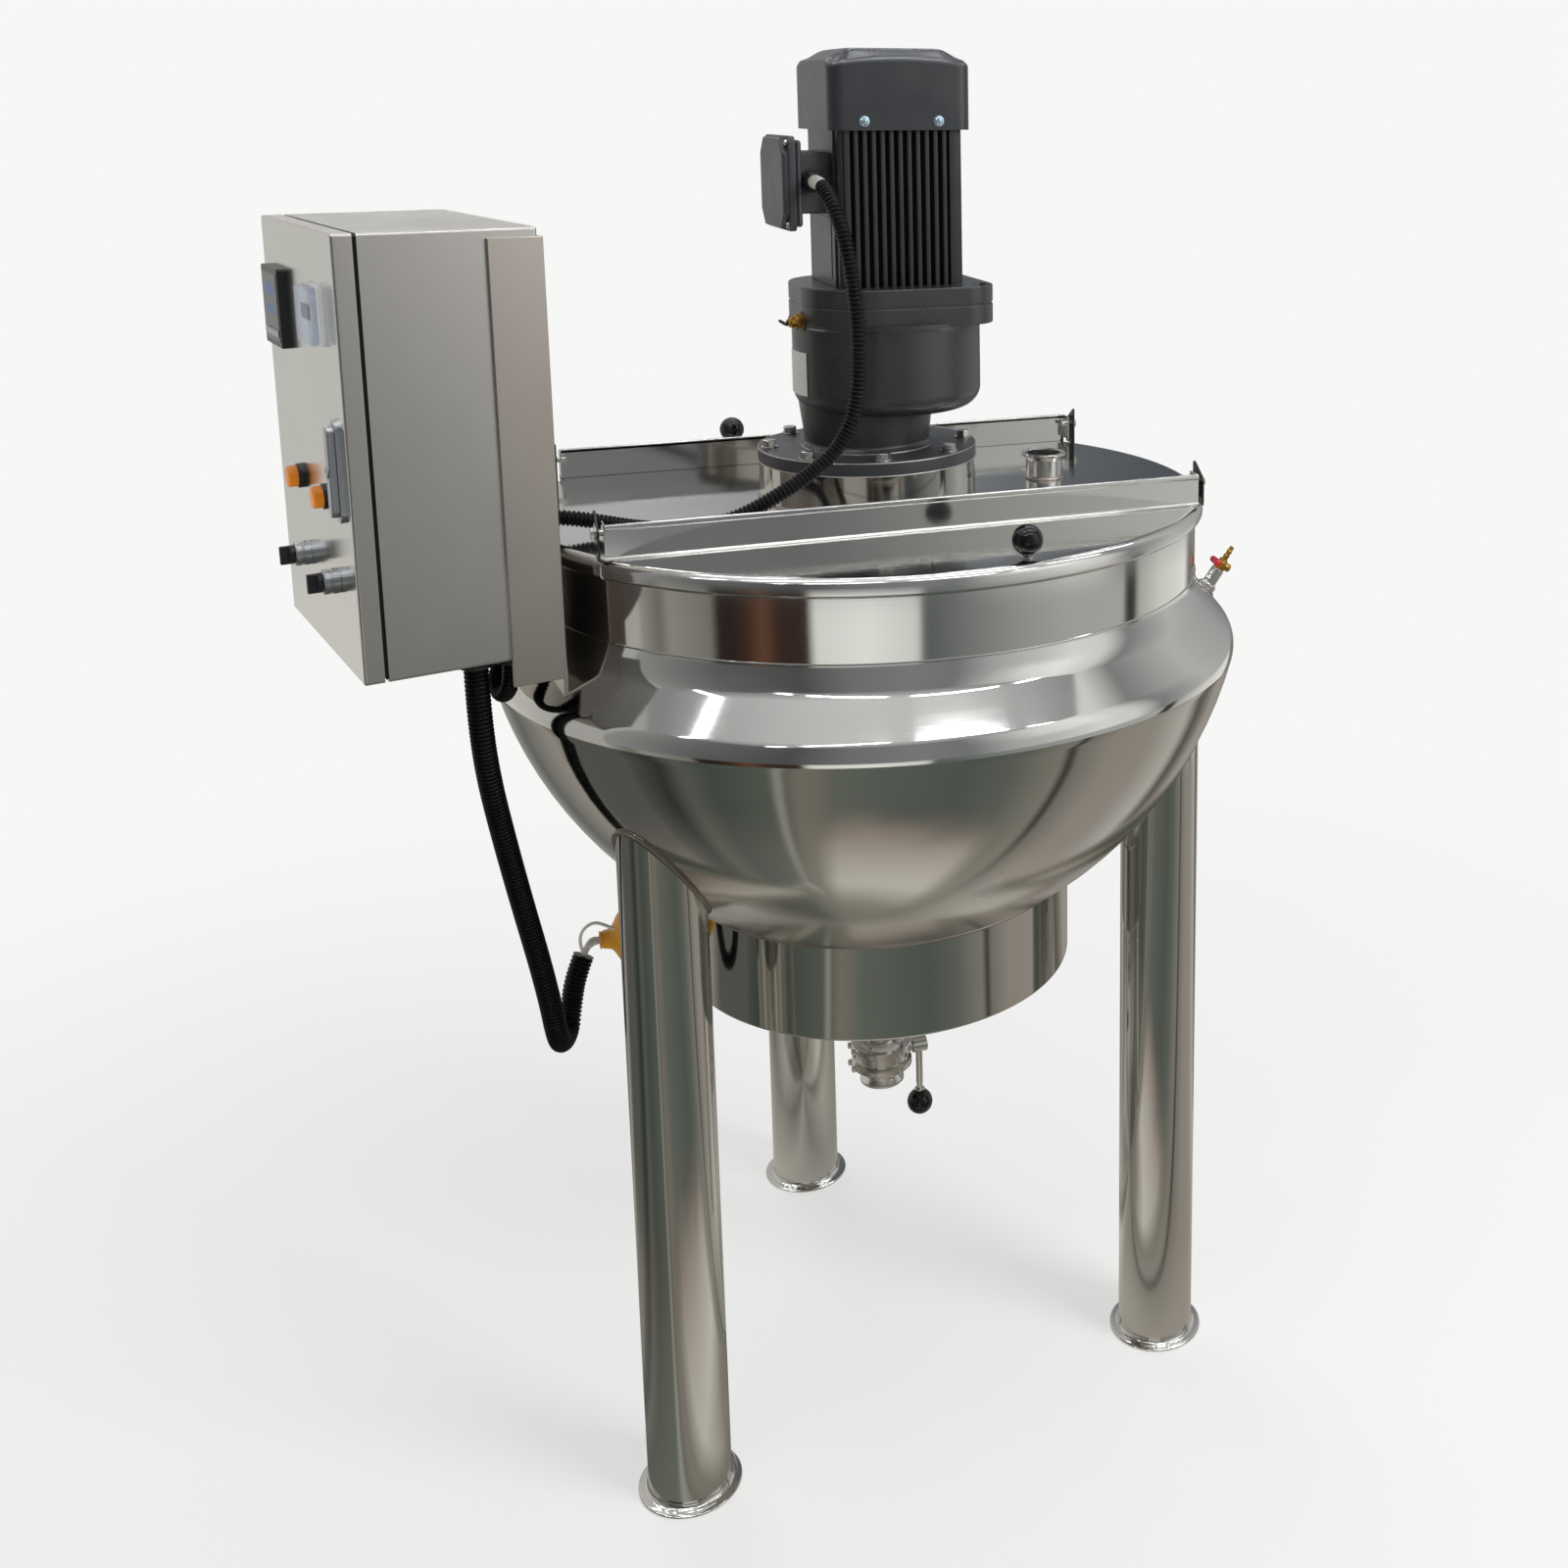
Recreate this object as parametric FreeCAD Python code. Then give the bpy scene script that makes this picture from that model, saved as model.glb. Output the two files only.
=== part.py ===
import FreeCAD, Part
import math
import os
from FreeCAD import Vector

# Jacketed cooking kettle with a scraping agitator, millimetres, +Z up, floor at z = 0.
# It is drawn about the vertical kettle axis, with X along the lid hinges and the cabinet at -X,
# and moved at the end so that the origin lies on the floor under the middle of its plan.

# Inner pot
pot_radius = 450.0
pot_wall = 4.0
rim_z = 1266.0
rim_bead = 4.0
rim_bead_height = 8.0
rim_bead_drop = 10.0
pot_bowl_gap = 52.0

# Jacket
jacket_sheet = 4.0
jacket_overhang = 55.0
jacket_radius = pot_radius + jacket_overhang
shoulder_radius = 40.0
shoulder_drop = 204.0
shoulder_z = rim_z - shoulder_drop
shoulder_slope = 50.4
bowl_beyond_jacket = 45.0
bowl_radius = jacket_radius + bowl_beyond_jacket
cove_radius = 22.0

# Heater skirt
skirt_radius = 273.0
skirt_wall = 4.0
skirt_drop = 334.0
skirt_top = shoulder_z - skirt_drop
skirt_height = 132.0
skirt_bottom = skirt_top - skirt_height

# Legs and feet
leg_inset = 101.3
leg_circle = jacket_radius - leg_inset
front_left_azimuth = -145.8
front_right_azimuth = -25.8
rear_azimuth = 94.2
leg_radius = 54.0
leg_wall = 3.0
foot_radius = 67.0
foot_rim = 4.0
foot_flare = 13.0
foot_collar = 30.0
foot_plate = 5.0

# Bridge and lids
lid_overhang = 10.0
lid_radius = pot_radius + lid_overhang
lid_sheet = 2.0
lid_roll = 9.0
lid_lip = 22.0
bridge_half = 243.0
chord_y = 245.0
lid_lift = 0.3
flange_end_gap = 4.33
flange_half = math.sqrt(lid_radius ** 2 - chord_y ** 2) - flange_end_gap
flange_height = 42.0
flange_hem = 4.0
hem_height = 7.0
tab_depth = 22.0
tab_clear = 6.0
hinge_rise = 30.0
hinge_inset = 12.0
ear_gap = 5.0
ear_thickness = 3.0
ear_width = 30.0
ear_height = 57.0
bolt_radius = 4.0
bolt_hole_clear = 0.4
bolt_head_radius = 7.5
bolt_head_height = 5.0
knob_xs = {"front": 78.0, "rear": 105.0}
knob_inset = 38.0
knob_y = lid_radius - knob_inset
ball_radius = 18.7
stud_radius = 4.0
stud_height = 4.0

# Clamp ferrules, 51 mm tube with a 64 mm flange
ferrule_tube = 25.4
ferrule_wall = 1.6
ferrule_flange = 32.0
ferrule_flange_height = 3.2
ferrule_x = 258.0
ferrule_height = 36.0

# Drive
drum_radius = 147.0
drum_wall = 4.0
drum_height = 51.0
drive_flange_radius = 148.0
drive_flange_height = 18.0
flange_top = rim_z + lid_sheet + drum_height + drive_flange_height
neck_radius = 84.0
neck_top_radius = 92.0
neck_height = 84.0
case_offset = 30.0
case_radius = 127.0
case_rise = 51.0
case_bottom = flange_top + case_rise
case_height = 119.0
case_top = case_bottom + case_height
case_round = 28.0
adapter_left = -94.0
adapter_right = 155.0
adapter_half = 120.0
adapter_left_round = 90.0
adapter_right_round = 45.0
adapter_lower_height = 27.0
adapter_seam = case_top + adapter_lower_height
adapter_height = 51.0
adapter_top = case_top + adapter_height
seam_step = 2.0
motor_half = 86.0
fin_depth = 15.0
fin_count = 12
fin_width = 5.0
motor_height = 212.0
motor_top = adapter_top + motor_height
cowl_half = 94.5
cowl_overlap = 10.0
cowl_bottom = motor_top - cowl_overlap
cowl_side_height = 82.0
cowl_edge = cowl_bottom + cowl_side_height
cowl_crown_height = 22.0
cowl_top = cowl_edge + cowl_crown_height
cowl_crown_half = 66.0
cowl_round = 16.0
terminal_depth = 48.0
terminal_half = 70.0
terminal_rise = 74.0
terminal_bottom = adapter_top + terminal_rise
terminal_height = 121.0
terminal_top = terminal_bottom + terminal_height
terminal_lid_depth = 17.0
terminal_box_half = 48.0
terminal_box_margin = 21.0
gland_rise = 63.0
gland_z = terminal_bottom + gland_rise
gland_inset = 24.0
gland_radius = 15.0
gland_length = 22.0
breather_rise = 5.0
breather_z = case_top + breather_rise
breather_azimuth = 196.0

# Agitator, guessed
shaft_radius = 22.0
shaft_hole_clear = 12.0
shaft_rise = 44.7
anchor_clearance = 14.0
anchor_width = 50.0
anchor_thickness = 12.0
anchor_hub_wall = 14.0
anchor_hub_height = 60.0
anchor_arm_height = 40.0
anchor_drop = 2.0
anchor_top = shoulder_z - anchor_drop

# Control cabinet, in its own frame turned about the kettle axis
cabinet_turn = 12.26
cabinet_gap = 23.0
cabinet_rear = -(pot_radius + cabinet_gap)
cabinet_depth = 222.0
cabinet_front = cabinet_rear - cabinet_depth
cabinet_near = -117.0
cabinet_far = 269.0
cabinet_drop = 114.0
cabinet_bottom = rim_z - cabinet_drop
cabinet_height = 505.0
cabinet_top = cabinet_bottom + cabinet_height
cabinet_sheet = 2.0
door_depth = 24.0
door_sheet = 2.0
gasket_thickness = 2.5
gasket_width = 14.0
gasket_gap = 0.3
panel_standoff = 20.0
panel_margin = 25.0
panel_thickness = 2.5
hinge_radius = 6.0
hinge_length = 25.0
hinge_margin = 60.0
bracket_sheet = 5.0
bracket_flange = 58.0
bracket_margin = 11.0
bracket_top = cabinet_top - bracket_margin
bracket_drop = 56.0
bracket_bottom = cabinet_bottom - bracket_drop
flange_drop = 31.0
bracket_flange_bottom = cabinet_bottom - flange_drop

# Door furniture, y and z of each centre on the door
controller_size = 96.0
controller_depth = 10.0
controller_y = 190.0
controller_drop = 105.0
controller_z = cabinet_top - controller_drop
timer_width = 72.0
timer_height = 68.0
timer_depth = 16.0
timer_y = -20.0
timer_drop = 95.0
timer_z = cabinet_top - timer_drop
light_ys = (138.0, -2.0)
light_rise = 198.0
light_z = cabinet_bottom + light_rise
light_collar_radius = 15.0
light_collar_depth = 6.5
light_lens_radius = 13.0
light_lens_depth = 12.0
selector_ys = (131.0, -25.0)
selector_rise = 103.0
selector_z = cabinet_bottom + selector_rise
selector_bezel_radius = 14.5
selector_bezel_depth = 18.0
selector_knob_radius = 11.5
selector_knob_depth = 16.0
selector_grip = 7.0
latch_y = -78.0
latch_rise = 240.0
latch_z = cabinet_bottom + latch_rise
latch_width = 26.0
latch_height = 118.0
latch_depth = 5.0
handle_width = 18.0
handle_height = 104.0
handle_depth = 8.0
handle_pivot = handle_height / 2 - handle_width / 2
spindle_radius = 7.0
spindle_end = 1.5
spindle_clear = 0.3

# Outlet under the skirt
outlet_drop = 151.0
valve_top = skirt_bottom - outlet_drop
valve_height = 36.0
valve_bottom = valve_top - valve_height
valve_radius = 40.0
valve_clamp_radius = 44.0
valve_clamp_height = 9.0
outlet_ferrule_height = 24.0
outlet_bottom = valve_bottom - outlet_ferrule_height
stem_radius = 7.0
stem_beyond_clamp = 13.0
stem_reach = valve_clamp_radius + stem_beyond_clamp
lever_radius = 5.0
lever_length = 92.0
lever_hub_radius = 11.0

# Vent cock on the shoulder
cock_azimuth = -10.0
cock_lean = 34.0
cock_inset = 21.0
cock_circle = jacket_radius - cock_inset
cock_tube_radius = 9.5
cock_tube_length = 34.0
cock_boss_radius = 13.0
cock_boss_height = 9.0
cock_body_radius = 8.0
cock_body_length = 16.0
cock_nozzle_radius = 4.0
cock_nozzle_length = 22.0
cock_cap_radius = 6.0
cock_cap_reach = 17.0
cock_handle_length = 30.0
cock_handle_width = 9.0
cock_handle_thickness = 6.0

# Heater terminal on the skirt, pointing along -X
heater_rise = 80.0
heater_z = skirt_bottom + heater_rise
heater_tube_radius = 24.0
heater_tube_reach = 77.0
heater_tube_end = -(skirt_radius + heater_tube_reach)
boot_radius = 37.0
boot_length = 34.0
boot_neck_radius = 12.0
boot_neck_length = 16.0
boot_overlap = 20.0

# Conduits
motor_conduit_radius = 10.0
heater_conduit_radius = 14.5
heater_leads_radius = 8.0
sensor_conduit_radius = 10.0
gland_nut_rim = 5.0
gland_nut_height = 10.0


def cylinder(radius, height, base, axis=Vector(0, 0, 1)):
    return Part.makeCylinder(radius, height, base, axis)


def tube(outer, inner, height, base, axis=Vector(0, 0, 1)):
    return cylinder(outer, height, base, axis).cut(cylinder(inner, height, base, axis))


def block(x0, x1, y0, y1, z0, z1):
    return Part.makeBox(x1 - x0, y1 - y0, z1 - z0, Vector(x0, y0, z0))


def rounded_outline(corners, place):
    """Closed wire through (u, w, radius) corners, laid in space by place(u, w)."""
    count = len(corners)
    edges = []
    last = None
    first = None
    for i in range(count):
        u, w, radius = corners[i]
        corner = Vector(u, w, 0)
        before = Vector(corners[i - 1][0], corners[i - 1][1], 0) - corner
        after = Vector(corners[(i + 1) % count][0], corners[(i + 1) % count][1], 0) - corner
        before.normalize()
        after.normalize()
        if radius > 0:
            half = before.getAngle(after) / 2
            setback = radius / math.tan(half)
            start = corner + before * setback
            end = corner + after * setback
            bisector = before + after
            bisector.normalize()
            middle = corner + bisector * (radius / math.sin(half) - radius)
        else:
            start = corner
            end = corner
        if last is not None and (start - last).Length > 1e-6:
            edges.append(Part.LineSegment(place(last.x, last.y), place(start.x, start.y)).toShape())
        if radius > 0:
            arc = Part.Arc(place(start.x, start.y), place(middle.x, middle.y), place(end.x, end.y))
            edges.append(arc.toShape())
        if first is None:
            first = start
        last = end
    if (first - last).Length > 1e-6:
        edges.append(Part.LineSegment(place(last.x, last.y), place(first.x, first.y)).toShape())
    return Part.Wire(edges)


def prism(corners, z0, z1):
    wire = rounded_outline(corners, lambda u, w: Vector(u, w, z0))
    return Part.Face(wire).extrude(Vector(0, 0, z1 - z0))


def rounded_box(x0, x1, y0, y1, z0, z1, radius):
    return prism([(x0, y0, radius), (x1, y0, radius), (x1, y1, radius), (x0, y1, radius)], z0, z1)


def turned_solid(corners):
    """Solid of revolution about Z from an outline of (radius, z, corner radius)."""
    wire = rounded_outline(corners, lambda u, w: Vector(u, 0, w))
    return Part.Face(wire).revolve(Vector(0, 0, 0), Vector(0, 0, 1), 360)


def fused(shapes):
    return shapes[0].multiFuse(shapes[1:]).removeSplitter()


def moved(shape, offset):
    result = shape.copy()
    result.translate(offset)
    return result


def rotated(shape, degrees, centre=Vector(0, 0, 0), axis=Vector(0, 0, 1)):
    result = shape.copy()
    result.rotate(centre, axis, degrees)
    return result


def mirrored(shape, normal):
    return shape.mirror(Vector(0, 0, 0), normal)


def at_azimuth(radius, degrees, z):
    angle = math.radians(degrees)
    return Vector(radius * math.cos(angle), radius * math.sin(angle), z)


# The bowl's arc passes the skirt's top edge and runs smoothly into the shoulder's arc.
def bowl_centre():
    shoulder = Vector(jacket_radius - shoulder_radius, 0, shoulder_z)
    skirt_edge = Vector(skirt_radius, 0, skirt_top)
    reach = bowl_radius - shoulder_radius
    across = skirt_edge - shoulder
    span = across.Length
    along = (reach ** 2 - bowl_radius ** 2 + span ** 2) / (2 * span)
    height = math.sqrt(reach ** 2 - along ** 2)
    across.normalize()
    inward = Vector(across.z, 0, -across.x)
    return shoulder + across * along + inward * height


bowl_middle = bowl_centre()


def bowl_depth(radius, arc):
    """Height of a bowl arc of radius arc, about the bowl's centre, at a distance from the axis."""
    return bowl_middle.z - math.sqrt(arc ** 2 - (radius - bowl_middle.x) ** 2)


shaft_bottom = bowl_depth(0, bowl_radius - pot_bowl_gap) + shaft_rise


def jacket_volume(inset):
    """Everything inside the jacket's outer face moved inwards by inset, down to the skirt's top."""
    slope = math.radians(shoulder_slope)
    shoulder = Vector(jacket_radius - shoulder_radius, 0, shoulder_z)
    arc = shoulder_radius - inset
    normal = Vector(math.sin(slope), 0, math.cos(slope))
    cone_end = shoulder + normal * arc
    inner = pot_radius - pot_wall / 2
    cone_top = cone_end + Vector(-math.cos(slope), 0, math.sin(slope)) * (
        (cone_end.x - inner) / math.cos(slope))
    bowl = bowl_radius - inset
    outward = shoulder - bowl_middle
    outward.normalize()
    bowl_start = bowl_middle + outward * bowl
    shoulder_mid_direction = normal + outward
    shoulder_mid_direction.normalize()
    shoulder_mid = shoulder + shoulder_mid_direction * arc
    end_radius = bowl_middle.x + math.sqrt(bowl ** 2 - (bowl_middle.z - skirt_top) ** 2)
    bowl_end = Vector(end_radius, 0, skirt_top)
    mid_direction = (bowl_start - bowl_middle) + (bowl_end - bowl_middle)
    mid_direction.normalize()
    bowl_mid = bowl_middle + mid_direction * bowl
    edges = [
        Part.LineSegment(cone_top, cone_end).toShape(),
        Part.Arc(cone_end, shoulder_mid, bowl_start).toShape(),
        Part.Arc(bowl_start, bowl_mid, bowl_end).toShape(),
        Part.LineSegment(bowl_end, Vector(0, 0, skirt_top)).toShape(),
        Part.LineSegment(Vector(0, 0, skirt_top), Vector(0, 0, cone_top.z)).toShape(),
        Part.LineSegment(Vector(0, 0, cone_top.z), cone_top).toShape(),
    ]
    return Part.Face(Part.Wire(edges)).revolve(Vector(0, 0, 0), Vector(0, 0, 1), 360)


def pot_section(inset, top):
    """Half section of the space inside the pot's outer face moved inwards by inset."""
    wall = pot_radius - inset
    arc = bowl_radius - pot_bowl_gap - inset
    start = Vector(wall, 0, bowl_depth(wall, arc))
    bottom = Vector(0, 0, bowl_depth(0, arc))
    direction = (start - bowl_middle) + (bottom - bowl_middle)
    direction.normalize()
    edges = [
        Part.LineSegment(Vector(0, 0, top), Vector(wall, 0, top)).toShape(),
        Part.LineSegment(Vector(wall, 0, top), start).toShape(),
        Part.Arc(start, bowl_middle + direction * arc, bottom).toShape(),
        Part.LineSegment(bottom, Vector(0, 0, top)).toShape(),
    ]
    return Part.Face(Part.Wire(edges))


def pot_volume(inset, top):
    return pot_section(inset, top).revolve(Vector(0, 0, 0), Vector(0, 0, 1), 360)


def inner_pot():
    bead_top = rim_z - rim_bead_drop
    bead = turned_solid([
        (pot_radius - pot_wall, bead_top - rim_bead_height, 0),
        (pot_radius + rim_bead, bead_top - rim_bead_height, rim_bead / 4),
        (pot_radius + rim_bead, bead_top, rim_bead / 4),
        (pot_radius - pot_wall, bead_top, 0),
    ])
    shell = pot_volume(0, rim_z).cut(pot_volume(pot_wall, rim_z + 1))
    shell = shell.cut(cylinder(ferrule_tube, rim_z, Vector(0, 0, 0)))
    return fused([shell, bead])


def jacket_shell():
    shell = jacket_volume(0).cut(jacket_volume(jacket_sheet))
    shell = shell.cut(pot_volume(0, rim_z))
    lower_opening = cylinder(skirt_radius - skirt_wall, 2 * jacket_sheet,
                             Vector(0, 0, skirt_top - jacket_sheet))
    shell = shell.cut(lower_opening)
    cove_z = jacket_volume(0).BoundBox.ZMax
    cove = turned_solid([
        (pot_radius, cove_z - 6, 0),
        (pot_radius + 5, cove_z - 6, 0),
        (pot_radius, cove_z + cove_radius / 2, 0),
    ])
    return fused([shell, cove.cut(jacket_volume(jacket_sheet))])


def heater_skirt():
    wall = tube(skirt_radius, skirt_radius - skirt_wall, skirt_top - skirt_bottom,
                Vector(0, 0, skirt_bottom))
    plate = cylinder(skirt_radius - skirt_wall, skirt_wall, Vector(0, 0, skirt_bottom))
    plate = plate.cut(cylinder(ferrule_tube, skirt_wall, Vector(0, 0, skirt_bottom)))
    return fused([wall, plate])


leg_azimuths = {"front_left": front_left_azimuth, "front_right": front_right_azimuth, "rear": rear_azimuth}


def leg(azimuth, jacket):
    base = at_azimuth(leg_circle, azimuth, 0)
    post = tube(leg_radius, leg_radius - leg_wall, shoulder_z, base + Vector(0, 0, foot_collar))
    post = post.cut(jacket)
    foot = turned_solid([
        (0, 0, 0),
        (foot_radius, 0, 0),
        (foot_radius, foot_rim, 0),
        (leg_radius + 1, foot_rim + 1, foot_flare - 1),
        (leg_radius, foot_collar, 0),
        (leg_radius - leg_wall, foot_collar, 0),
        (leg_radius - leg_wall, foot_plate, 0),
        (0, foot_plate, 0),
    ])
    return fused([post, moved(foot, base)])


def lid_cap(radius, top, roll, bottom):
    return turned_solid([
        (0, bottom, 0),
        (radius, bottom, 0),
        (radius, top, roll),
        (0, top, 0),
    ])


def cap_shell(bottom_z):
    """Flat cover with a rolled edge and a turned-down lip, seated on the rim."""
    outer = lid_cap(lid_radius, rim_z + lid_sheet, lid_roll, bottom_z)
    inner = lid_cap(lid_radius - lid_sheet, rim_z, lid_roll - lid_sheet, bottom_z - 1)
    return outer.cut(inner)


lip_bottom = rim_z + lid_sheet - lid_lip - lid_sheet
hinge_y = chord_y - hinge_inset
hinge_z = rim_z + lid_sheet + hinge_rise
ear_x = flange_half + ear_gap


def hinge_ear(side):
    """Upright lug at one end of a front hinge, with a pointed top."""
    foot = rim_z + lid_sheet
    corners = [
        (-hinge_y - ear_width / 2, foot, 0),
        (-hinge_y + ear_width / 2, foot, 0),
        (-hinge_y + ear_width / 2, foot + ear_height, 3),
        (-hinge_y - ear_width / 2, foot + ear_height * 0.62, 8),
    ]
    wire = rounded_outline(corners, lambda u, w: Vector(ear_x, u, w))
    lug = Part.Face(wire).extrude(Vector(ear_thickness, 0, 0))
    hole = cylinder(bolt_radius, ear_thickness, Vector(ear_x, -hinge_y, hinge_z), Vector(1, 0, 0))
    lug = lug.cut(hole)
    if side < 0:
        lug = mirrored(lug, Vector(1, 0, 0))
    return lug


def bridge_plate():
    strip = block(-lid_radius, lid_radius, -bridge_half, bridge_half, lip_bottom - 5, rim_z + 10)
    plate = cap_shell(lip_bottom).common(strip)
    plate = plate.cut(cylinder(shaft_radius + shaft_hole_clear, 50, Vector(0, 0, rim_z - 20)))
    plate = plate.cut(cylinder(ferrule_tube, 50, Vector(ferrule_x, 0, rim_z - 20)))
    ears = [hinge_ear(-1), hinge_ear(1)]
    ears += [mirrored(ear, Vector(0, 1, 0)) for ear in ears]
    return fused([plate] + ears)


def hinge_bolt(side):
    start = flange_half - lid_sheet - 6
    end = ear_x + ear_thickness + bolt_head_height
    length = end - start
    shank = cylinder(bolt_radius, length, Vector(start, -hinge_y, hinge_z), Vector(1, 0, 0))
    head = cylinder(bolt_head_radius, bolt_head_height,
                    Vector(ear_x + ear_thickness, -hinge_y, hinge_z), Vector(1, 0, 0))
    bolt = fused([shank, head])
    if side < 0:
        bolt = mirrored(bolt, Vector(1, 0, 0))
    return bolt


def hinge_bolts():
    bolts = [hinge_bolt(-1), hinge_bolt(1)]
    bolts += [mirrored(bolt, Vector(0, 1, 0)) for bolt in bolts]
    return Part.makeCompound(bolts)


def front_lid():
    """Half-moon plate with a turned-down edge and an upright hemmed flange on its chord."""
    half = block(-lid_radius, lid_radius, -lid_radius - 1, -chord_y, lip_bottom - 5, rim_z + 10)
    plate = cap_shell(lip_bottom).common(half)
    foot = rim_z
    top = rim_z + lid_sheet + flange_height
    flange = block(-flange_half, flange_half, -chord_y - lid_sheet, -chord_y, foot, top)
    hem = block(-flange_half, flange_half, -chord_y - lid_sheet, -chord_y - lid_sheet + flange_hem,
                top - hem_height, top)
    parts = [plate, flange, hem]
    for side in (-1, 1):
        x0 = side * flange_half - (lid_sheet if side > 0 else 0)
        tab = block(x0, x0 + lid_sheet, -chord_y, -chord_y + tab_depth,
                    rim_z + lid_sheet + tab_clear, top)
        hole = cylinder(bolt_radius + bolt_hole_clear, 4 * lid_sheet,
                        Vector(x0 - lid_sheet, -hinge_y, hinge_z), Vector(1, 0, 0))
        parts.append(tab.cut(hole))
    return moved(fused(parts), Vector(0, 0, lid_lift))


def lid_knob(knob_x):
    base_z = rim_z + lid_sheet + lid_lift
    stud = cylinder(stud_radius, stud_height + 2, Vector(knob_x, -knob_y, base_z))
    ball = Part.makeSphere(ball_radius, Vector(knob_x, -knob_y, base_z + stud_height + ball_radius - 1))
    return fused([stud, ball])


def ferrule(base_z, height, upward):
    """Clamp ferrule about the Z axis, its flange at the far end."""
    inner = ferrule_tube - ferrule_wall
    flange_base = base_z + height - ferrule_flange_height if upward else base_z
    body = cylinder(ferrule_tube, height, Vector(0, 0, base_z))
    flange = cylinder(ferrule_flange, ferrule_flange_height, Vector(0, 0, flange_base))
    cone_base = flange_base - 4 if upward else flange_base + ferrule_flange_height
    cone = Part.makeCone(ferrule_tube if upward else ferrule_flange - 2,
                         ferrule_flange - 2 if upward else ferrule_tube, 4, Vector(0, 0, cone_base))
    return fused([body, flange, cone]).cut(cylinder(inner, height, Vector(0, 0, base_z)))


def lid_ferrule():
    base = rim_z + lid_sheet
    collar = tube(ferrule_tube + 5, ferrule_tube, 2, Vector(0, 0, base))
    return moved(fused([ferrule(base, ferrule_height, True), collar]), Vector(ferrule_x, 0, 0))


drum_base = rim_z + lid_sheet
flange_base = drum_base + drum_height


def drive_drum():
    wall = tube(drum_radius, drum_radius - drum_wall, drum_height, Vector(0, 0, drum_base))
    return wall


def drive_flange():
    plate = cylinder(drive_flange_radius, drive_flange_height, Vector(0, 0, flange_base))
    plate = plate.makeFillet(2, [e for e in plate.Edges if abs(e.BoundBox.ZMin - flange_top) < 0.01])
    return plate.cut(cylinder(shaft_radius, drive_flange_height, Vector(0, 0, flange_base)))


def gear_case():
    """Cast reduction gear: a round case set off the output axis, over a tapered neck."""
    centre = Vector(case_offset, 0, 0)
    case = cylinder(case_radius, case_top - case_bottom, centre + Vector(0, 0, case_bottom))
    lower = [e for e in case.Edges if abs(e.BoundBox.ZMax - case_bottom) < 0.01]
    case = case.makeFillet(case_round, lower)
    neck = Part.makeCone(neck_radius, neck_top_radius, neck_height, Vector(0, 0, flange_top))
    toe = Part.makeCone(neck_radius + 5, neck_radius, 5, Vector(0, 0, flange_top))
    ring = adapter_plate(0, case_top, adapter_seam - seam_step)
    return fused([case, neck, toe, ring])


def adapter_plate(inset, z0, z1):
    corners = [
        (adapter_left + inset, -adapter_half + inset, adapter_left_round),
        (adapter_right - inset, -adapter_half + inset, adapter_right_round),
        (adapter_right - inset, adapter_half - inset, adapter_right_round),
        (adapter_left + inset, adapter_half - inset, adapter_left_round),
    ]
    return prism(corners, z0, z1)


def motor_adapter():
    groove = adapter_plate(1.5, adapter_seam - seam_step, adapter_seam)
    plate = adapter_plate(0, adapter_seam, adapter_top)
    return fused([groove, plate])


def finned_corners():
    """Outline of the motor housing: plain on its -X side, finned on the three others."""
    outer = motor_half
    inner = motor_half - fin_depth
    pitch = 2 * inner / fin_count
    half_fin = fin_width / 2
    side = []
    for i in range(fin_count):
        middle = -inner + pitch * (i + 0.5)
        side.append((middle - half_fin, inner))
        side.append((middle - half_fin, outer))
        side.append((middle + half_fin, outer))
        side.append((middle + half_fin, inner))
    corners = [(-outer + 4, -inner, 0), (-inner + 2, -outer + 3, 0)]
    corners += [(u, -w, 0) for u, w in side]
    corners += [(w, u, 0) for u, w in side]
    corners += [(u, w, 0) for u, w in reversed(side)]
    corners += [(-inner + 2, outer - 3, 0), (-outer + 4, inner, 0)]
    return corners


def motor_body():
    body = prism(finned_corners(), adapter_top, motor_top)
    return moved(body, Vector(case_offset, 0, 0))


def fan_cowl():
    """Square fan cowl with rounded edges and a raised crown."""
    half = cowl_half
    skirt = rounded_box(-half, half, -half, half, cowl_bottom, cowl_edge, cowl_round)
    lower = rounded_outline([(-half, -half, cowl_round), (half, -half, cowl_round),
                             (half, half, cowl_round), (-half, half, cowl_round)],
                            lambda u, w: Vector(u, w, cowl_edge))
    crown = cowl_crown_half
    upper = rounded_outline([(-crown, -crown, cowl_round), (crown, -crown, cowl_round),
                             (crown, crown, cowl_round), (-crown, crown, cowl_round)],
                            lambda u, w: Vector(u, w, cowl_top))
    roof = Part.makeLoft([lower, upper], True, True)
    hollow = block(-motor_half - 1, motor_half + 1, -motor_half - 1, motor_half + 1,
                   cowl_bottom, motor_top)
    return moved(fused([skirt, roof]).cut(hollow), Vector(case_offset, 0, 0))


terminal_face = case_offset - motor_half
terminal_lid_face = terminal_face - terminal_depth


def terminal_box():
    return block(terminal_lid_face, terminal_face + fin_depth / 4, -terminal_box_half,
                 terminal_box_half, terminal_bottom + terminal_box_margin,
                 terminal_top - terminal_box_margin).cut(motor_body())


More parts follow.
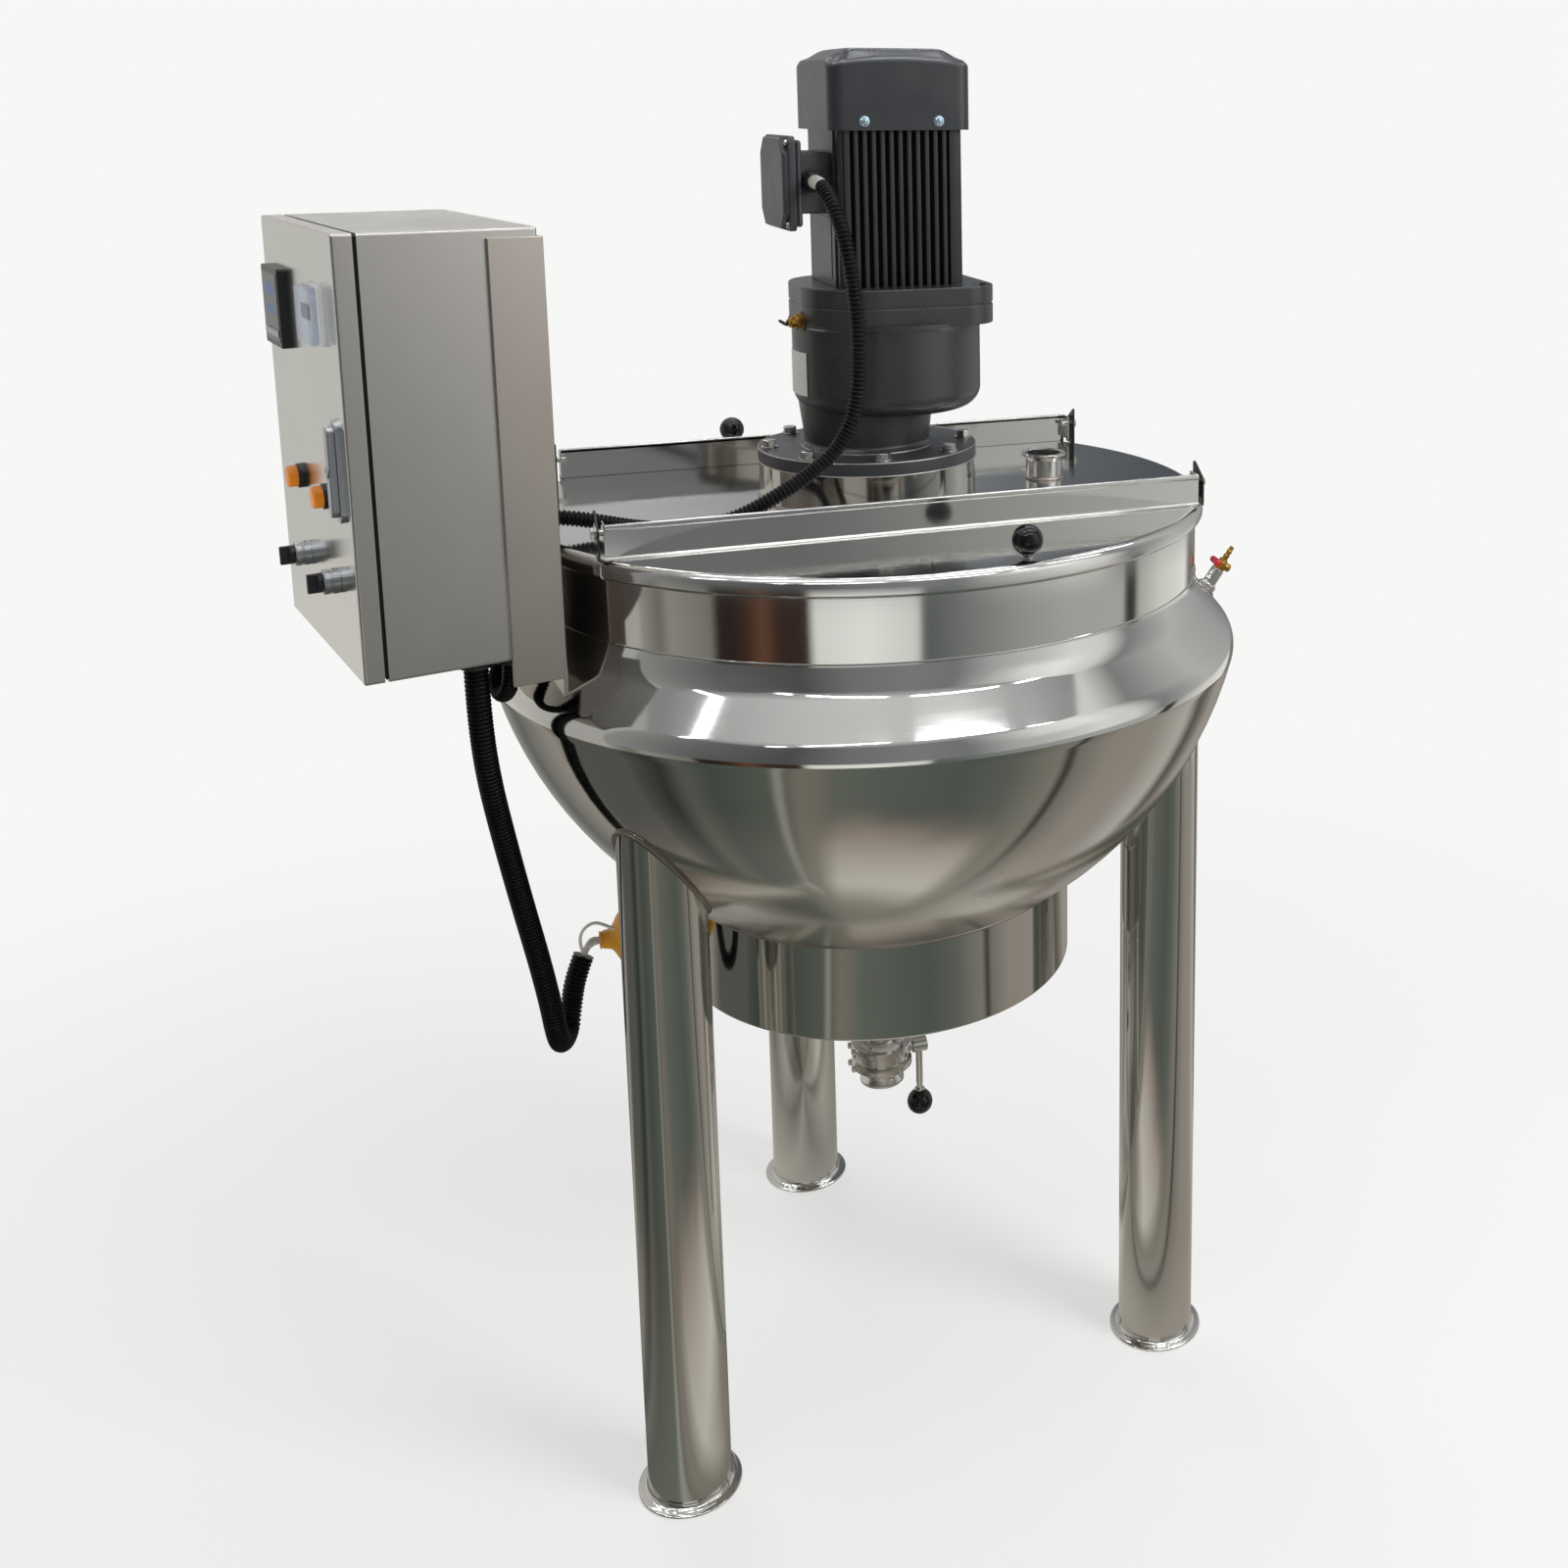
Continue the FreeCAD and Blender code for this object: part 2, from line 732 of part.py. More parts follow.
def terminal_lid():
    corners = [
        (-terminal_half, terminal_bottom, 8),
        (terminal_half, terminal_bottom, 8),
        (terminal_half, terminal_top, 8),
        (-terminal_half, terminal_top, 8),
    ]
    wire = rounded_outline(corners, lambda u, w: Vector(terminal_lid_face, u, w))
    plate = Part.Face(wire).extrude(Vector(-terminal_lid_depth, 0, 0))
    front = terminal_lid_face - terminal_lid_depth
    rim = [e for e in plate.Edges if abs(e.BoundBox.XMax - front) < 0.01]
    return plate.makeChamfer(5, rim)


gland_x = terminal_face - gland_inset
gland_face = -terminal_box_half


def motor_gland():
    base = Vector(gland_x, gland_face, gland_z)
    direction = Vector(0, -1, 0)
    nut = cylinder(gland_radius, gland_length * 0.6, base, direction)
    dome = Part.makeCone(gland_radius - 1, motor_conduit_radius + 0.5, gland_length * 0.4,
                         base + direction * gland_length * 0.6, direction)
    return fused([nut, dome])


def breather_plug():
    outward = at_azimuth(1, breather_azimuth, 0)
    base = Vector(case_offset, 0, breather_z) + outward * (case_radius - 5)
    washer = cylinder(13, 14, base, outward)
    body = cylinder(9, 25, base, outward)
    tip = cylinder(5, 35, base, outward)
    seat = adapter_plate(0, case_bottom, adapter_seam)
    return fused([washer, body, tip]).cut(seat)


def agitator_shaft():
    return cylinder(shaft_radius, flange_top - shaft_bottom, Vector(0, 0, shaft_bottom))


def agitator_anchor():
    """Flat anchor that follows the bowl, cut from the pot's own section."""
    outer = pot_section(pot_wall + anchor_clearance, anchor_top)
    inner = pot_section(pot_wall + anchor_clearance + anchor_width, anchor_top + 1)
    half = outer.cut(inner).extrude(Vector(0, anchor_thickness, 0))
    half = moved(half, Vector(0, -anchor_thickness / 2, 0))
    frame = fused([half, mirrored(half, Vector(1, 0, 0))])
    hub = cylinder(shaft_radius + anchor_hub_wall, anchor_hub_height, Vector(0, 0, shaft_bottom - 5))
    arm_half = pot_radius - anchor_width
    arm = block(-arm_half, arm_half, -anchor_thickness / 2, anchor_thickness / 2,
                anchor_top - anchor_hub_height, anchor_top - anchor_hub_height + anchor_arm_height)
    upper_hub = cylinder(shaft_radius + anchor_hub_wall, anchor_hub_height,
                         Vector(0, 0, anchor_top - anchor_hub_height - anchor_thickness))
    whole = fused([frame, arm, hub, upper_hub])
    return whole.cut(agitator_shaft())


def in_cabinet_frame(shape):
    return rotated(shape, cabinet_turn)


body_front = cabinet_front + door_depth + gasket_gap + gasket_thickness


def cabinet_body():
    outer = block(body_front, cabinet_rear, cabinet_near, cabinet_far, cabinet_bottom, cabinet_top)
    s = cabinet_sheet
    inner = block(body_front - 1, cabinet_rear - s, cabinet_near + s, cabinet_far - s,
                  cabinet_bottom + s, cabinet_top - s)
    shell = outer.cut(inner)
    lip = block(body_front, body_front + s, cabinet_near, cabinet_far, cabinet_bottom, cabinet_top)
    opening = block(body_front - 1, body_front + s + 1, cabinet_near + gasket_width,
                    cabinet_far - gasket_width, cabinet_bottom + gasket_width,
                    cabinet_top - gasket_width)
    parts = [shell, lip.cut(opening)]
    for z in hinge_heights():
        lug = block(hinge_axis_x, body_front + 30, cabinet_far, cabinet_far + 5,
                    z - hinge_length, z)
        barrel = cylinder(hinge_radius, hinge_length, Vector(hinge_axis_x, hinge_axis_y, z - hinge_length))
        parts.append(lug)
        parts.append(barrel)
    return in_cabinet_frame(fused(parts))


hinge_axis_x = cabinet_front + door_depth
hinge_axis_y = cabinet_far + hinge_radius + 1


def hinge_heights():
    return (cabinet_bottom + hinge_margin + hinge_length, cabinet_top - hinge_margin)


def cabinet_door():
    s = door_sheet
    rear = cabinet_front + door_depth
    outer = block(cabinet_front, rear, cabinet_near, cabinet_far, cabinet_bottom, cabinet_top)
    inner = block(cabinet_front + s, rear + 1, cabinet_near + s, cabinet_far - s,
                  cabinet_bottom + s, cabinet_top - s)
    parts = [outer.cut(inner)]
    for z in hinge_heights():
        leaf = block(rear - 18, rear, cabinet_far, cabinet_far + 5, z + 0.5, z + hinge_length)
        barrel = cylinder(hinge_radius, hinge_length - 0.5, Vector(hinge_axis_x, hinge_axis_y, z + 0.5))
        parts.append(leaf)
        parts.append(barrel)
    return in_cabinet_frame(fused(parts))


def cabinet_gasket():
    front = body_front - gasket_thickness
    ring = block(front, body_front, cabinet_near + 3, cabinet_far - 3, cabinet_bottom + 3,
                 cabinet_top - 3)
    opening = block(front - 1, body_front + 1, cabinet_near + gasket_width,
                    cabinet_far - gasket_width, cabinet_bottom + gasket_width,
                    cabinet_top - gasket_width)
    return in_cabinet_frame(ring.cut(opening))


def mounting_panel():
    rear = cabinet_rear - cabinet_sheet
    face = rear - panel_standoff
    plate = block(face - panel_thickness, face, cabinet_near + panel_margin,
                  cabinet_far - panel_margin, cabinet_bottom + panel_margin,
                  cabinet_top - panel_margin)
    parts = [plate]
    for y in (cabinet_near + 2 * panel_margin, cabinet_far - 2 * panel_margin):
        for z in (cabinet_bottom + 2 * panel_margin, cabinet_top - 2 * panel_margin):
            parts.append(cylinder(6, panel_standoff, Vector(face, y, z), Vector(1, 0, 0)))
    return in_cabinet_frame(fused(parts))


def cabinet_bracket(jacket):
    """Bent cradle round the back of the cabinet, its foot cut to the jacket and welded there."""
    s = bracket_sheet
    web = block(cabinet_rear, cabinet_rear + s, cabinet_near - s, cabinet_far + s,
                bracket_bottom, bracket_top)
    parts = [web]
    for y in (cabinet_near - s, cabinet_far):
        parts.append(block(cabinet_rear - bracket_flange, cabinet_rear, y, y + s,
                           bracket_flange_bottom, bracket_top))
    cradle = in_cabinet_frame(fused(parts))
    cradle = cradle.cut(jacket)
    pieces = sorted(cradle.Solids, key=lambda solid: solid.BoundBox.ZMax)
    return pieces[-1]


def on_door(shape_builder, y, z):
    """Builds a fitting whose axis leaves the door along -X, and seats it on the door."""
    shape = shape_builder()
    return in_cabinet_frame(moved(shape, Vector(cabinet_front, y, z)))


def controller():
    return on_door(lambda: rounded_plate(controller_size, controller_size, 0, controller_depth, 4),
                   controller_y, controller_z)


def timer():
    return on_door(lambda: rounded_plate(timer_width, timer_height, 0, timer_depth, 4),
                   timer_y, timer_z)


def pilot_light():
    out = Vector(-1, 0, 0)
    collar = cylinder(light_collar_radius, light_collar_depth, Vector(0, 0, 0), out)
    lens = cylinder(light_lens_radius, light_lens_depth, Vector(-light_collar_depth, 0, 0), out)
    rim = [e for e in lens.Edges if abs(e.BoundBox.XMax + light_collar_depth + light_lens_depth) < 0.01]
    return fused([collar, lens.makeFillet(3, rim)])


def selector_bezel():
    out = Vector(-1, 0, 0)
    ring = cylinder(selector_bezel_radius, selector_bezel_depth, Vector(0, 0, 0), out)
    return ring


def selector_knob():
    out = Vector(-1, 0, 0)
    face = -selector_bezel_depth - 0.5
    disc = cylinder(selector_knob_radius, selector_knob_depth * 0.35, Vector(face, 0, 0), out)
    grip = block(face - selector_knob_depth, face, -selector_grip / 2, selector_grip / 2,
                 -selector_knob_radius, selector_knob_radius)
    grip = grip.common(cylinder(selector_knob_radius, selector_knob_depth, Vector(face, 0, 0), out))
    return fused([disc, grip])


def door_latch():
    """Escutcheon with a bearing hole for the handle's spindle."""
    plate = rounded_plate(latch_width, latch_height, 0, latch_depth, 8)
    hole = cylinder(spindle_radius + spindle_clear, latch_depth, Vector(0, 0, handle_pivot),
                    Vector(-1, 0, 0))
    return plate.cut(hole)


def rounded_plate(width, height, start, depth, radius):
    corners = [(-width / 2, -height / 2, radius), (width / 2, -height / 2, radius),
               (width / 2, height / 2, radius), (-width / 2, height / 2, radius)]
    wire = rounded_outline(corners, lambda u, w: Vector(-start, u, w))
    return Part.Face(wire).extrude(Vector(-depth, 0, 0))


def door_handle():
    """Swing handle with the round end of its spindle."""
    start = latch_depth + 0.4
    plate = rounded_plate(handle_width, handle_height, start, handle_depth, 8)
    inner = Vector(-spindle_clear, 0, handle_pivot)
    spindle = cylinder(spindle_radius, start + handle_depth + spindle_end - spindle_clear, inner,
                       Vector(-1, 0, 0))
    return fused([plate, spindle])


def outlet_pipe():
    inner = ferrule_tube - ferrule_wall
    top = bowl_depth(0, bowl_radius - pot_bowl_gap) + 3
    return tube(ferrule_tube, inner, top - valve_top, Vector(0, 0, valve_top))


def outlet_valve():
    """Clamped lever valve with its stem to one side and a ferrule below."""
    inner = ferrule_tube - ferrule_wall
    body = cylinder(valve_radius, valve_top - valve_bottom, Vector(0, 0, valve_bottom))
    upper = cylinder(valve_clamp_radius, valve_clamp_height, Vector(0, 0, valve_top - valve_clamp_height))
    lower = cylinder(valve_clamp_radius, valve_clamp_height, Vector(0, 0, valve_bottom))
    stem = cylinder(stem_radius, stem_reach - lever_hub_radius - 0.4, Vector(0, 0, stem_z), Vector(1, 0, 0))
    body = fused([body, upper, lower, stem])
    body = body.cut(cylinder(inner, valve_top - valve_bottom, Vector(0, 0, valve_bottom)))
    end = ferrule(outlet_bottom, valve_bottom - outlet_bottom, False)
    return fused([body, end])


stem_z = (valve_top + valve_bottom) / 2


def outlet_lever():
    hub = cylinder(lever_hub_radius, 2 * lever_hub_radius,
                   Vector(stem_reach - lever_hub_radius, 0, stem_z), Vector(1, 0, 0))
    down = Vector(0, 0, -1)
    rod = cylinder(lever_radius, lever_length, Vector(stem_reach, 0, stem_z), down)
    ball = Part.makeSphere(ball_radius, Vector(stem_reach, 0, stem_z - lever_length))
    return fused([hub, rod, ball])


def lean_cock(shape):
    """Puts a piece drawn up the Z axis onto the shoulder, leaning outwards."""
    leaned = rotated(shape, cock_lean, Vector(0, 0, 0), Vector(0, 1, 0))
    placed = moved(leaned, Vector(cock_circle, 0, shoulder_surface(cock_circle)))
    return rotated(placed, cock_azimuth)


def shoulder_surface(radius):
    """Height of the jacket's outer face on the straight part above the shoulder."""
    slope = math.radians(shoulder_slope)
    shoulder_x = jacket_radius - shoulder_radius
    end_x = shoulder_x + math.sin(slope) * shoulder_radius
    end_z = shoulder_z + math.cos(slope) * shoulder_radius
    return end_z + (end_x - radius) * math.tan(slope)


cock_cross_z = cock_tube_length + cock_body_length / 2


def vent_cock(jacket):
    boss = cylinder(cock_boss_radius, cock_boss_height + 20, Vector(0, 0, -20))
    neck = cylinder(cock_tube_radius, cock_tube_length, Vector(0, 0, 0))
    body = cylinder(cock_body_radius, cock_body_length, Vector(0, 0, cock_tube_length))
    nozzle = cylinder(cock_nozzle_radius, cock_nozzle_length,
                      Vector(0, 0, cock_tube_length + cock_body_length))
    cap = cylinder(cock_cap_radius, cock_cap_reach, Vector(0, 0, cock_cross_z), Vector(1, 0, 0))
    stem = cylinder(4, cock_body_radius + 3, Vector(0, 0, cock_cross_z), Vector(-1, 0, 0))
    whole = lean_cock(fused([boss, neck, body, nozzle, cap, stem]))
    whole = whole.cut(jacket)
    pieces = sorted(whole.Solids, key=lambda solid: solid.BoundBox.ZMax)
    return pieces[-1]


def vent_handle():
    face = -cock_body_radius - 3.4
    half = cock_handle_width / 2
    paddle = block(face - cock_handle_thickness, face, -cock_handle_length + half, half,
                   cock_cross_z - half, cock_cross_z + half)
    return lean_cock(paddle)


def heater_terminal():
    start = -skirt_radius + 2
    body = cylinder(heater_tube_radius, start - heater_tube_end, Vector(start, 0, heater_z),
                    Vector(-1, 0, 0))
    return body.cut(cylinder(skirt_radius, skirt_top, Vector(0, 0, 0)))


def heater_boot():
    """Rubber boot pushed over the terminal, narrowing to the cable neck."""
    mouth = heater_tube_end + boot_overlap
    out = Vector(-1, 0, 0)
    body = cylinder(boot_radius, boot_length, Vector(mouth, 0, heater_z), out)
    cone = Part.makeCone(boot_radius, boot_neck_radius + 6, 10,
                         Vector(mouth - boot_length, 0, heater_z), out)
    neck = cylinder(boot_neck_radius, boot_neck_length + 10, Vector(mouth - boot_length, 0, heater_z), out)
    socket = cylinder(heater_tube_radius, boot_overlap, Vector(mouth, 0, heater_z), out)
    return fused([body, cone, neck]).cut(socket)


def conduit(points, radius):
    """Tube along straight runs with an arc at each turn, as large as its two runs allow."""
    edges = []
    last = points[0]
    smallest = None
    for i in range(1, len(points) - 1):
        corner = points[i]
        before = points[i - 1] - corner
        after = points[i + 1] - corner
        shorter = min(before.Length, after.Length)
        setback = 0.45 * shorter
        before.normalize()
        after.normalize()
        half = before.getAngle(after) / 2
        turn_radius = setback * math.tan(half)
        smallest = turn_radius if smallest is None else min(smallest, turn_radius)
        start = corner + before * setback
        end = corner + after * setback
        bisector = before + after
        bisector.normalize()
        middle = corner + bisector * (turn_radius / math.sin(half) - turn_radius)
        edges.append(Part.LineSegment(last, start).toShape())
        edges.append(Part.Arc(start, middle, end).toShape())
        last = end
    edges.append(Part.LineSegment(last, points[-1]).toShape())
    path = Part.Wire(edges)
    direction = points[1] - points[0]
    section = Part.Wire([Part.Circle(points[0], direction, radius).toShape()])
    swept = path.makePipeShell([section], True, False)
    expected = math.pi * radius ** 2 * path.Length
    print("conduit length %.0f, smallest radius %.0f, volume ratio %.4f"
          % (path.Length, smallest, swept.Volume / expected))
    return swept


def over_bridge(x, y, rise):
    """Point that keeps its height over the bridge plate."""
    return Vector(x, y, rim_z + lid_sheet + rise)


def by_cabinet(depth, y, rise):
    """Point in the cabinet's frame, from its rear face and its underside."""
    return in_cabinet_frame(Part.Vertex(cabinet_rear + depth, y, cabinet_bottom + rise)).Point


def by_terminal(reach, y, rise):
    """Point beside the heater terminal, from the end of its tube and its centre line."""
    return Vector(heater_tube_end - reach, y, heater_z + rise)


# Each route starts and ends square to the face it meets.
motor_route = [
    over_bridge(-80, -70, 427), over_bridge(-80, -104, 427), over_bridge(-75, -136, 406),
    over_bridge(-66, -158, 366), over_bridge(-59, -170, 310), over_bridge(-55, -174, 250),
    over_bridge(-55, -174, 190), over_bridge(-63, -174, 136), over_bridge(-86, -176, 96),
    over_bridge(-126, -186, 69), over_bridge(-173, -197, 46), over_bridge(-218, -200, 26),
    over_bridge(-262, -192, 15), over_bridge(-302, -171, 12), by_cabinet(112.6, -67, 128),
    by_cabinet(86, -38.7, 132), by_cabinet(58.3, -19.9, 137), by_cabinet(31, -12, 141),
    by_cabinet(5.1, -12, 141),
]
heater_route = [
    by_cabinet(-89.9, -80.3, -10), by_cabinet(-89.9, -80.3, -68), by_cabinet(-80.6, -65.9, -152),
    by_cabinet(-58.4, -39, -252), by_cabinet(-34.7, -14.5, -352), by_terminal(126, -99, 36),
    by_terminal(114, -84, -36), by_terminal(108, -76, -84), by_terminal(101, -59, -110),
    by_terminal(88.5, -28.5, -108), by_terminal(82, -14, -78), by_terminal(75, -9, -44),
    by_terminal(62, -4, -16),
]
heater_leads_route = [
    by_terminal(62, -4, -16), by_terminal(57.45, -2.25, -6.2), by_terminal(50, 0, 0),
    by_terminal(40, 0, 0),
]
sensor_route = [
    by_cabinet(-51, -86, -10), by_cabinet(-51, -86, -36), by_cabinet(-55, -70, -56),
    by_cabinet(-57, -44, -58), by_cabinet(-51, -20, -42), by_cabinet(-33, -8, -21),
    by_cabinet(-10, -8, -21),
]


def conduit_gland(route_end, inward, radius):
    """Nut that closes the gap from a conduit's end to the sheet it passes into."""
    return cylinder(radius + gland_nut_rim, gland_nut_height, route_end, inward)


def conduit_glands():
    """Nuts under the cabinet for the heater and sensor conduits, and one on the bracket's web."""
    up = Vector(0, 0, 1)
    to_web = Vector(math.cos(math.radians(cabinet_turn)), math.sin(math.radians(cabinet_turn)), 0)
    return Part.makeCompound([
        conduit_gland(heater_route[0], up, heater_conduit_radius),
        conduit_gland(sensor_route[0], up, sensor_conduit_radius),
        conduit_gland(sensor_route[-1], to_web, sensor_conduit_radius),
    ])


def build():
    jacket = jacket_volume(0)
    nodes = {
        "inner_pot": inner_pot(),
        "jacket_shell": jacket_shell(),
        "heater_skirt": heater_skirt(),
    }
    for name, azimuth in leg_azimuths.items():
        nodes["leg_" + name] = leg(azimuth, jacket)
    nodes["bridge_plate"] = bridge_plate()
    nodes["hinge_bolts"] = hinge_bolts()
    nodes["lid_ferrule"] = lid_ferrule()
    nodes["front_lid"] = front_lid()
    nodes["front_knob"] = lid_knob(knob_xs["front"])
    nodes["rear_lid"] = rotated(front_lid(), 180)
    nodes["rear_knob"] = rotated(lid_knob(knob_xs["rear"]), 180)
    nodes["drive_drum"] = drive_drum()
    nodes["drive_flange"] = drive_flange()
    nodes["gear_case"] = gear_case()
    nodes["motor_adapter"] = motor_adapter()
    nodes["motor_body"] = motor_body()
    nodes["fan_cowl"] = fan_cowl()
    nodes["terminal_box"] = terminal_box()
    nodes["terminal_lid"] = terminal_lid()
    nodes["motor_gland"] = motor_gland()
    nodes["breather_plug"] = breather_plug()
    nodes["agitator_shaft"] = agitator_shaft()
    nodes["agitator_anchor"] = agitator_anchor()
    nodes["cabinet_body"] = cabinet_body()
    nodes["cabinet_door"] = cabinet_door()
    nodes["cabinet_gasket"] = cabinet_gasket()
    nodes["mounting_panel"] = mounting_panel()
    nodes["cabinet_bracket"] = cabinet_bracket(jacket)
    nodes["controller"] = controller()
    nodes["timer"] = timer()
    nodes["pilot_lights"] = Part.makeCompound([on_door(pilot_light, y, light_z) for y in light_ys])
    nodes["selector_bezels"] = Part.makeCompound(
        [on_door(selector_bezel, y, selector_z) for y in selector_ys])
    nodes["selector_knob_far"] = on_door(selector_knob, selector_ys[0], selector_z)
    nodes["selector_knob_near"] = on_door(selector_knob, selector_ys[1], selector_z)
    nodes["door_latch"] = on_door(door_latch, latch_y, latch_z)
    nodes["door_handle"] = on_door(door_handle, latch_y, latch_z)
    nodes["outlet_pipe"] = outlet_pipe()
    nodes["outlet_valve"] = outlet_valve()
    nodes["outlet_lever"] = outlet_lever()
    nodes["vent_cock"] = vent_cock(jacket)
    nodes["vent_handle"] = vent_handle()
    nodes["heater_terminal"] = heater_terminal()
    nodes["heater_boot"] = heater_boot()
    nodes["conduit_glands"] = conduit_glands()
    nodes["motor_conduit"] = conduit(motor_route, motor_conduit_radius)
    nodes["heater_conduit"] = conduit(heater_route, heater_conduit_radius)
    nodes["heater_leads"] = conduit(heater_leads_route, heater_leads_radius)
    nodes["sensor_conduit"] = conduit(sensor_route, sensor_conduit_radius)
    return nodes


# The origin lies under the middle of the plan, between the cabinet door and the jacket.
turn = math.radians(cabinet_turn)
door_edge_x = cabinet_front * math.cos(turn) - cabinet_far * math.sin(turn)
origin_shift = Vector(-(door_edge_x + jacket_radius) / 2, 0, 0)


def main():
    os.makedirs("parts", exist_ok=True)
    for name, shape in build().items():
        placed = moved(shape, origin_shift)
        print(name, placed.ShapeType, len(placed.Solids), "valid" if placed.isValid() else "INVALID")
        placed.exportStep("parts/" + name + ".step")


main()
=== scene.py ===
# Jacketed cooking kettle with a geared drive, a side cabinet and a clamped outlet.
import math
import bpy
import bmesh
from mathutils import Matrix, Vector


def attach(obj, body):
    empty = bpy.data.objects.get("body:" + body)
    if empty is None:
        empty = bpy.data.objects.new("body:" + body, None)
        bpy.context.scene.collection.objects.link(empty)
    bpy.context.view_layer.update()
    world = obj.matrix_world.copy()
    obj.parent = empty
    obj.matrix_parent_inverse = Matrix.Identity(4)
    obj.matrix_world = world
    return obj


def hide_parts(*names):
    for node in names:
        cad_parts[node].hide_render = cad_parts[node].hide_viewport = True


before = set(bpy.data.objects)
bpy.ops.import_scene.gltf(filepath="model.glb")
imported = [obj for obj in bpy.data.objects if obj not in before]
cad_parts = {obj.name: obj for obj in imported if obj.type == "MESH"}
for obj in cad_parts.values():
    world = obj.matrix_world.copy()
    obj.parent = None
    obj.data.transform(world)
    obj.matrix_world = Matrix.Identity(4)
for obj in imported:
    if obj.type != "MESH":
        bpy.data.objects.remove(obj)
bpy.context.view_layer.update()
scene = bpy.context.scene

kettle = {"axisX": 0.115636, "around": 192, "cabinetTurn": 12.26}
kettleAxis = Matrix.Translation((kettle["axisX"], 0, 0))
cabinetAxes = kettleAxis @ Matrix.Rotation(math.radians(kettle["cabinetTurn"]), 4, "Z")


def linear(hexText):
    def channel(value):
        value /= 255
        return value / 12.92 if value <= 0.04045 else ((value + 0.055) / 1.055) ** 2.4
    return tuple(channel(int(hexText[i:i + 2], 16)) for i in (1, 3, 5)) + (1.0,)


def addNode(tree, kind, settings=None, links=None):
    node = tree.nodes.new(kind)
    for key, value in (settings or {}).items():
        if isinstance(key, str) and hasattr(node, key):
            setattr(node, key, value)
        else:
            node.inputs[key].default_value = value
    for key, source in (links or {}).items():
        tree.links.new(source, node.inputs[key])
    return node


def fillRamp(node, stops):
    ramp = node.color_ramp
    while len(ramp.elements) < len(stops):
        ramp.elements.new(1.0)
    for element, (place, colour) in zip(ramp.elements, stops):
        element.position = place
        element.color = linear(colour) if isinstance(colour, str) else (colour, colour, colour, 1)


def startMaterial(name, hexColour, metallic, roughness, sockets=None):
    material = bpy.data.materials.new(name)
    material.use_nodes = True
    tree = material.node_tree
    shader = tree.nodes["Principled BSDF"]
    shader.inputs["Base Color"].default_value = linear(hexColour)
    shader.inputs["Metallic"].default_value = metallic
    shader.inputs["Roughness"].default_value = roughness
    for key, value in (sockets or {}).items():
        shader.inputs[key].default_value = value
    return material, tree, shader


def grain(tree, scale, stretch=(1, 1, 1), detail=2.0):
    coords = addNode(tree, "ShaderNodeTexCoord")
    placed = addNode(tree, "ShaderNodeMapping", {"Scale": stretch}, {"Vector": coords.outputs["Object"]})
    return addNode(tree, "ShaderNodeTexNoise", {"Scale": scale, "Detail": detail},
                   {"Vector": placed.outputs["Vector"]}).outputs["Fac"]


def spread(tree, source, low, high):
    return addNode(tree, "ShaderNodeMapRange", {"From Min": 0.3, "From Max": 0.7, "To Min": low,
                                                "To Max": high},
                   {"Value": source}).outputs["Result"]


def bumpOn(tree, shader, height, distance):
    links = {"Height": height}
    if shader.inputs["Normal"].links:
        links["Normal"] = shader.inputs["Normal"].links[0].from_socket
    bump = addNode(tree, "ShaderNodeBump", {"Distance": distance, "Strength": 1.0}, links)
    tree.links.new(bump.outputs["Normal"], shader.inputs["Normal"])


def blendColours(tree, shader, factor, first, second):
    mix = addNode(tree, "ShaderNodeMix", {"data_type": "RGBA", 6: linear(first), 7: linear(second)},
                  {0: factor})
    tree.links.new(mix.outputs[2], shader.inputs["Base Color"])


def polishedSteel(name, lines, dull, satin=None, waves=0.0005):
    # 304 sheet buffed to a mirror: sharp reflections that waver a little, with faint buffing lines
    material, tree, shader = startMaterial(name, "#d6d4cf", 1.0, dull)
    buffing = grain(tree, 1.0, lines, 3.0)
    cloud = grain(tree, 7.0, (1, 1, 1), 2.0)
    both = addNode(tree, "ShaderNodeMath", {"operation": "ADD"}, {0: buffing, 1: cloud})
    half = addNode(tree, "ShaderNodeMath", {"operation": "MULTIPLY", 1: 0.5}, {0: both.outputs[0]})
    rough = spread(tree, half.outputs[0], dull * 0.82, dull * 1.22)
    if satin:
        # duller towards the bottom, where the polishing wheel never reached well
        height = addNode(tree, "ShaderNodeSeparateXYZ", None,
                         {"Vector": addNode(tree, "ShaderNodeTexCoord").outputs["Object"]}).outputs["Z"]
        more = addNode(tree, "ShaderNodeMapRange", {"From Min": satin[0], "From Max": satin[1],
                                                    "To Min": satin[2], "To Max": 1.0}, {"Value": height})
        rough = addNode(tree, "ShaderNodeMath", {"operation": "MULTIPLY"},
                        {0: rough, 1: more.outputs["Result"]}).outputs[0]
    tree.links.new(rough, shader.inputs["Roughness"])
    blendColours(tree, shader, cloud, "#d2d0cb", "#d9d8d4")
    bumpOn(tree, shader, grain(tree, 4.0, (1, 1, 1), 1.0), waves)   # sheet waves, some 250 mm apart
    bumpOn(tree, shader, buffing, 0.00001)
    return material


def brushedSteel(name, lines, first, second, dull):
    # satin sheet: soft blurred reflections, handled spots and a trace of the brushing
    material, tree, shader = startMaterial(name, first, 1.0, dull)
    buffing = grain(tree, 1.0, lines, 2.0)
    stains = grain(tree, 7.0, (1, 1, 0.55), 3.0)
    tree.links.new(spread(tree, stains, dull - 0.03, dull + 0.04), shader.inputs["Roughness"])
    blendColours(tree, shader, spread(tree, stains, 0.0, 1.0), first, second)
    bumpOn(tree, shader, buffing, 0.000005)
    return material


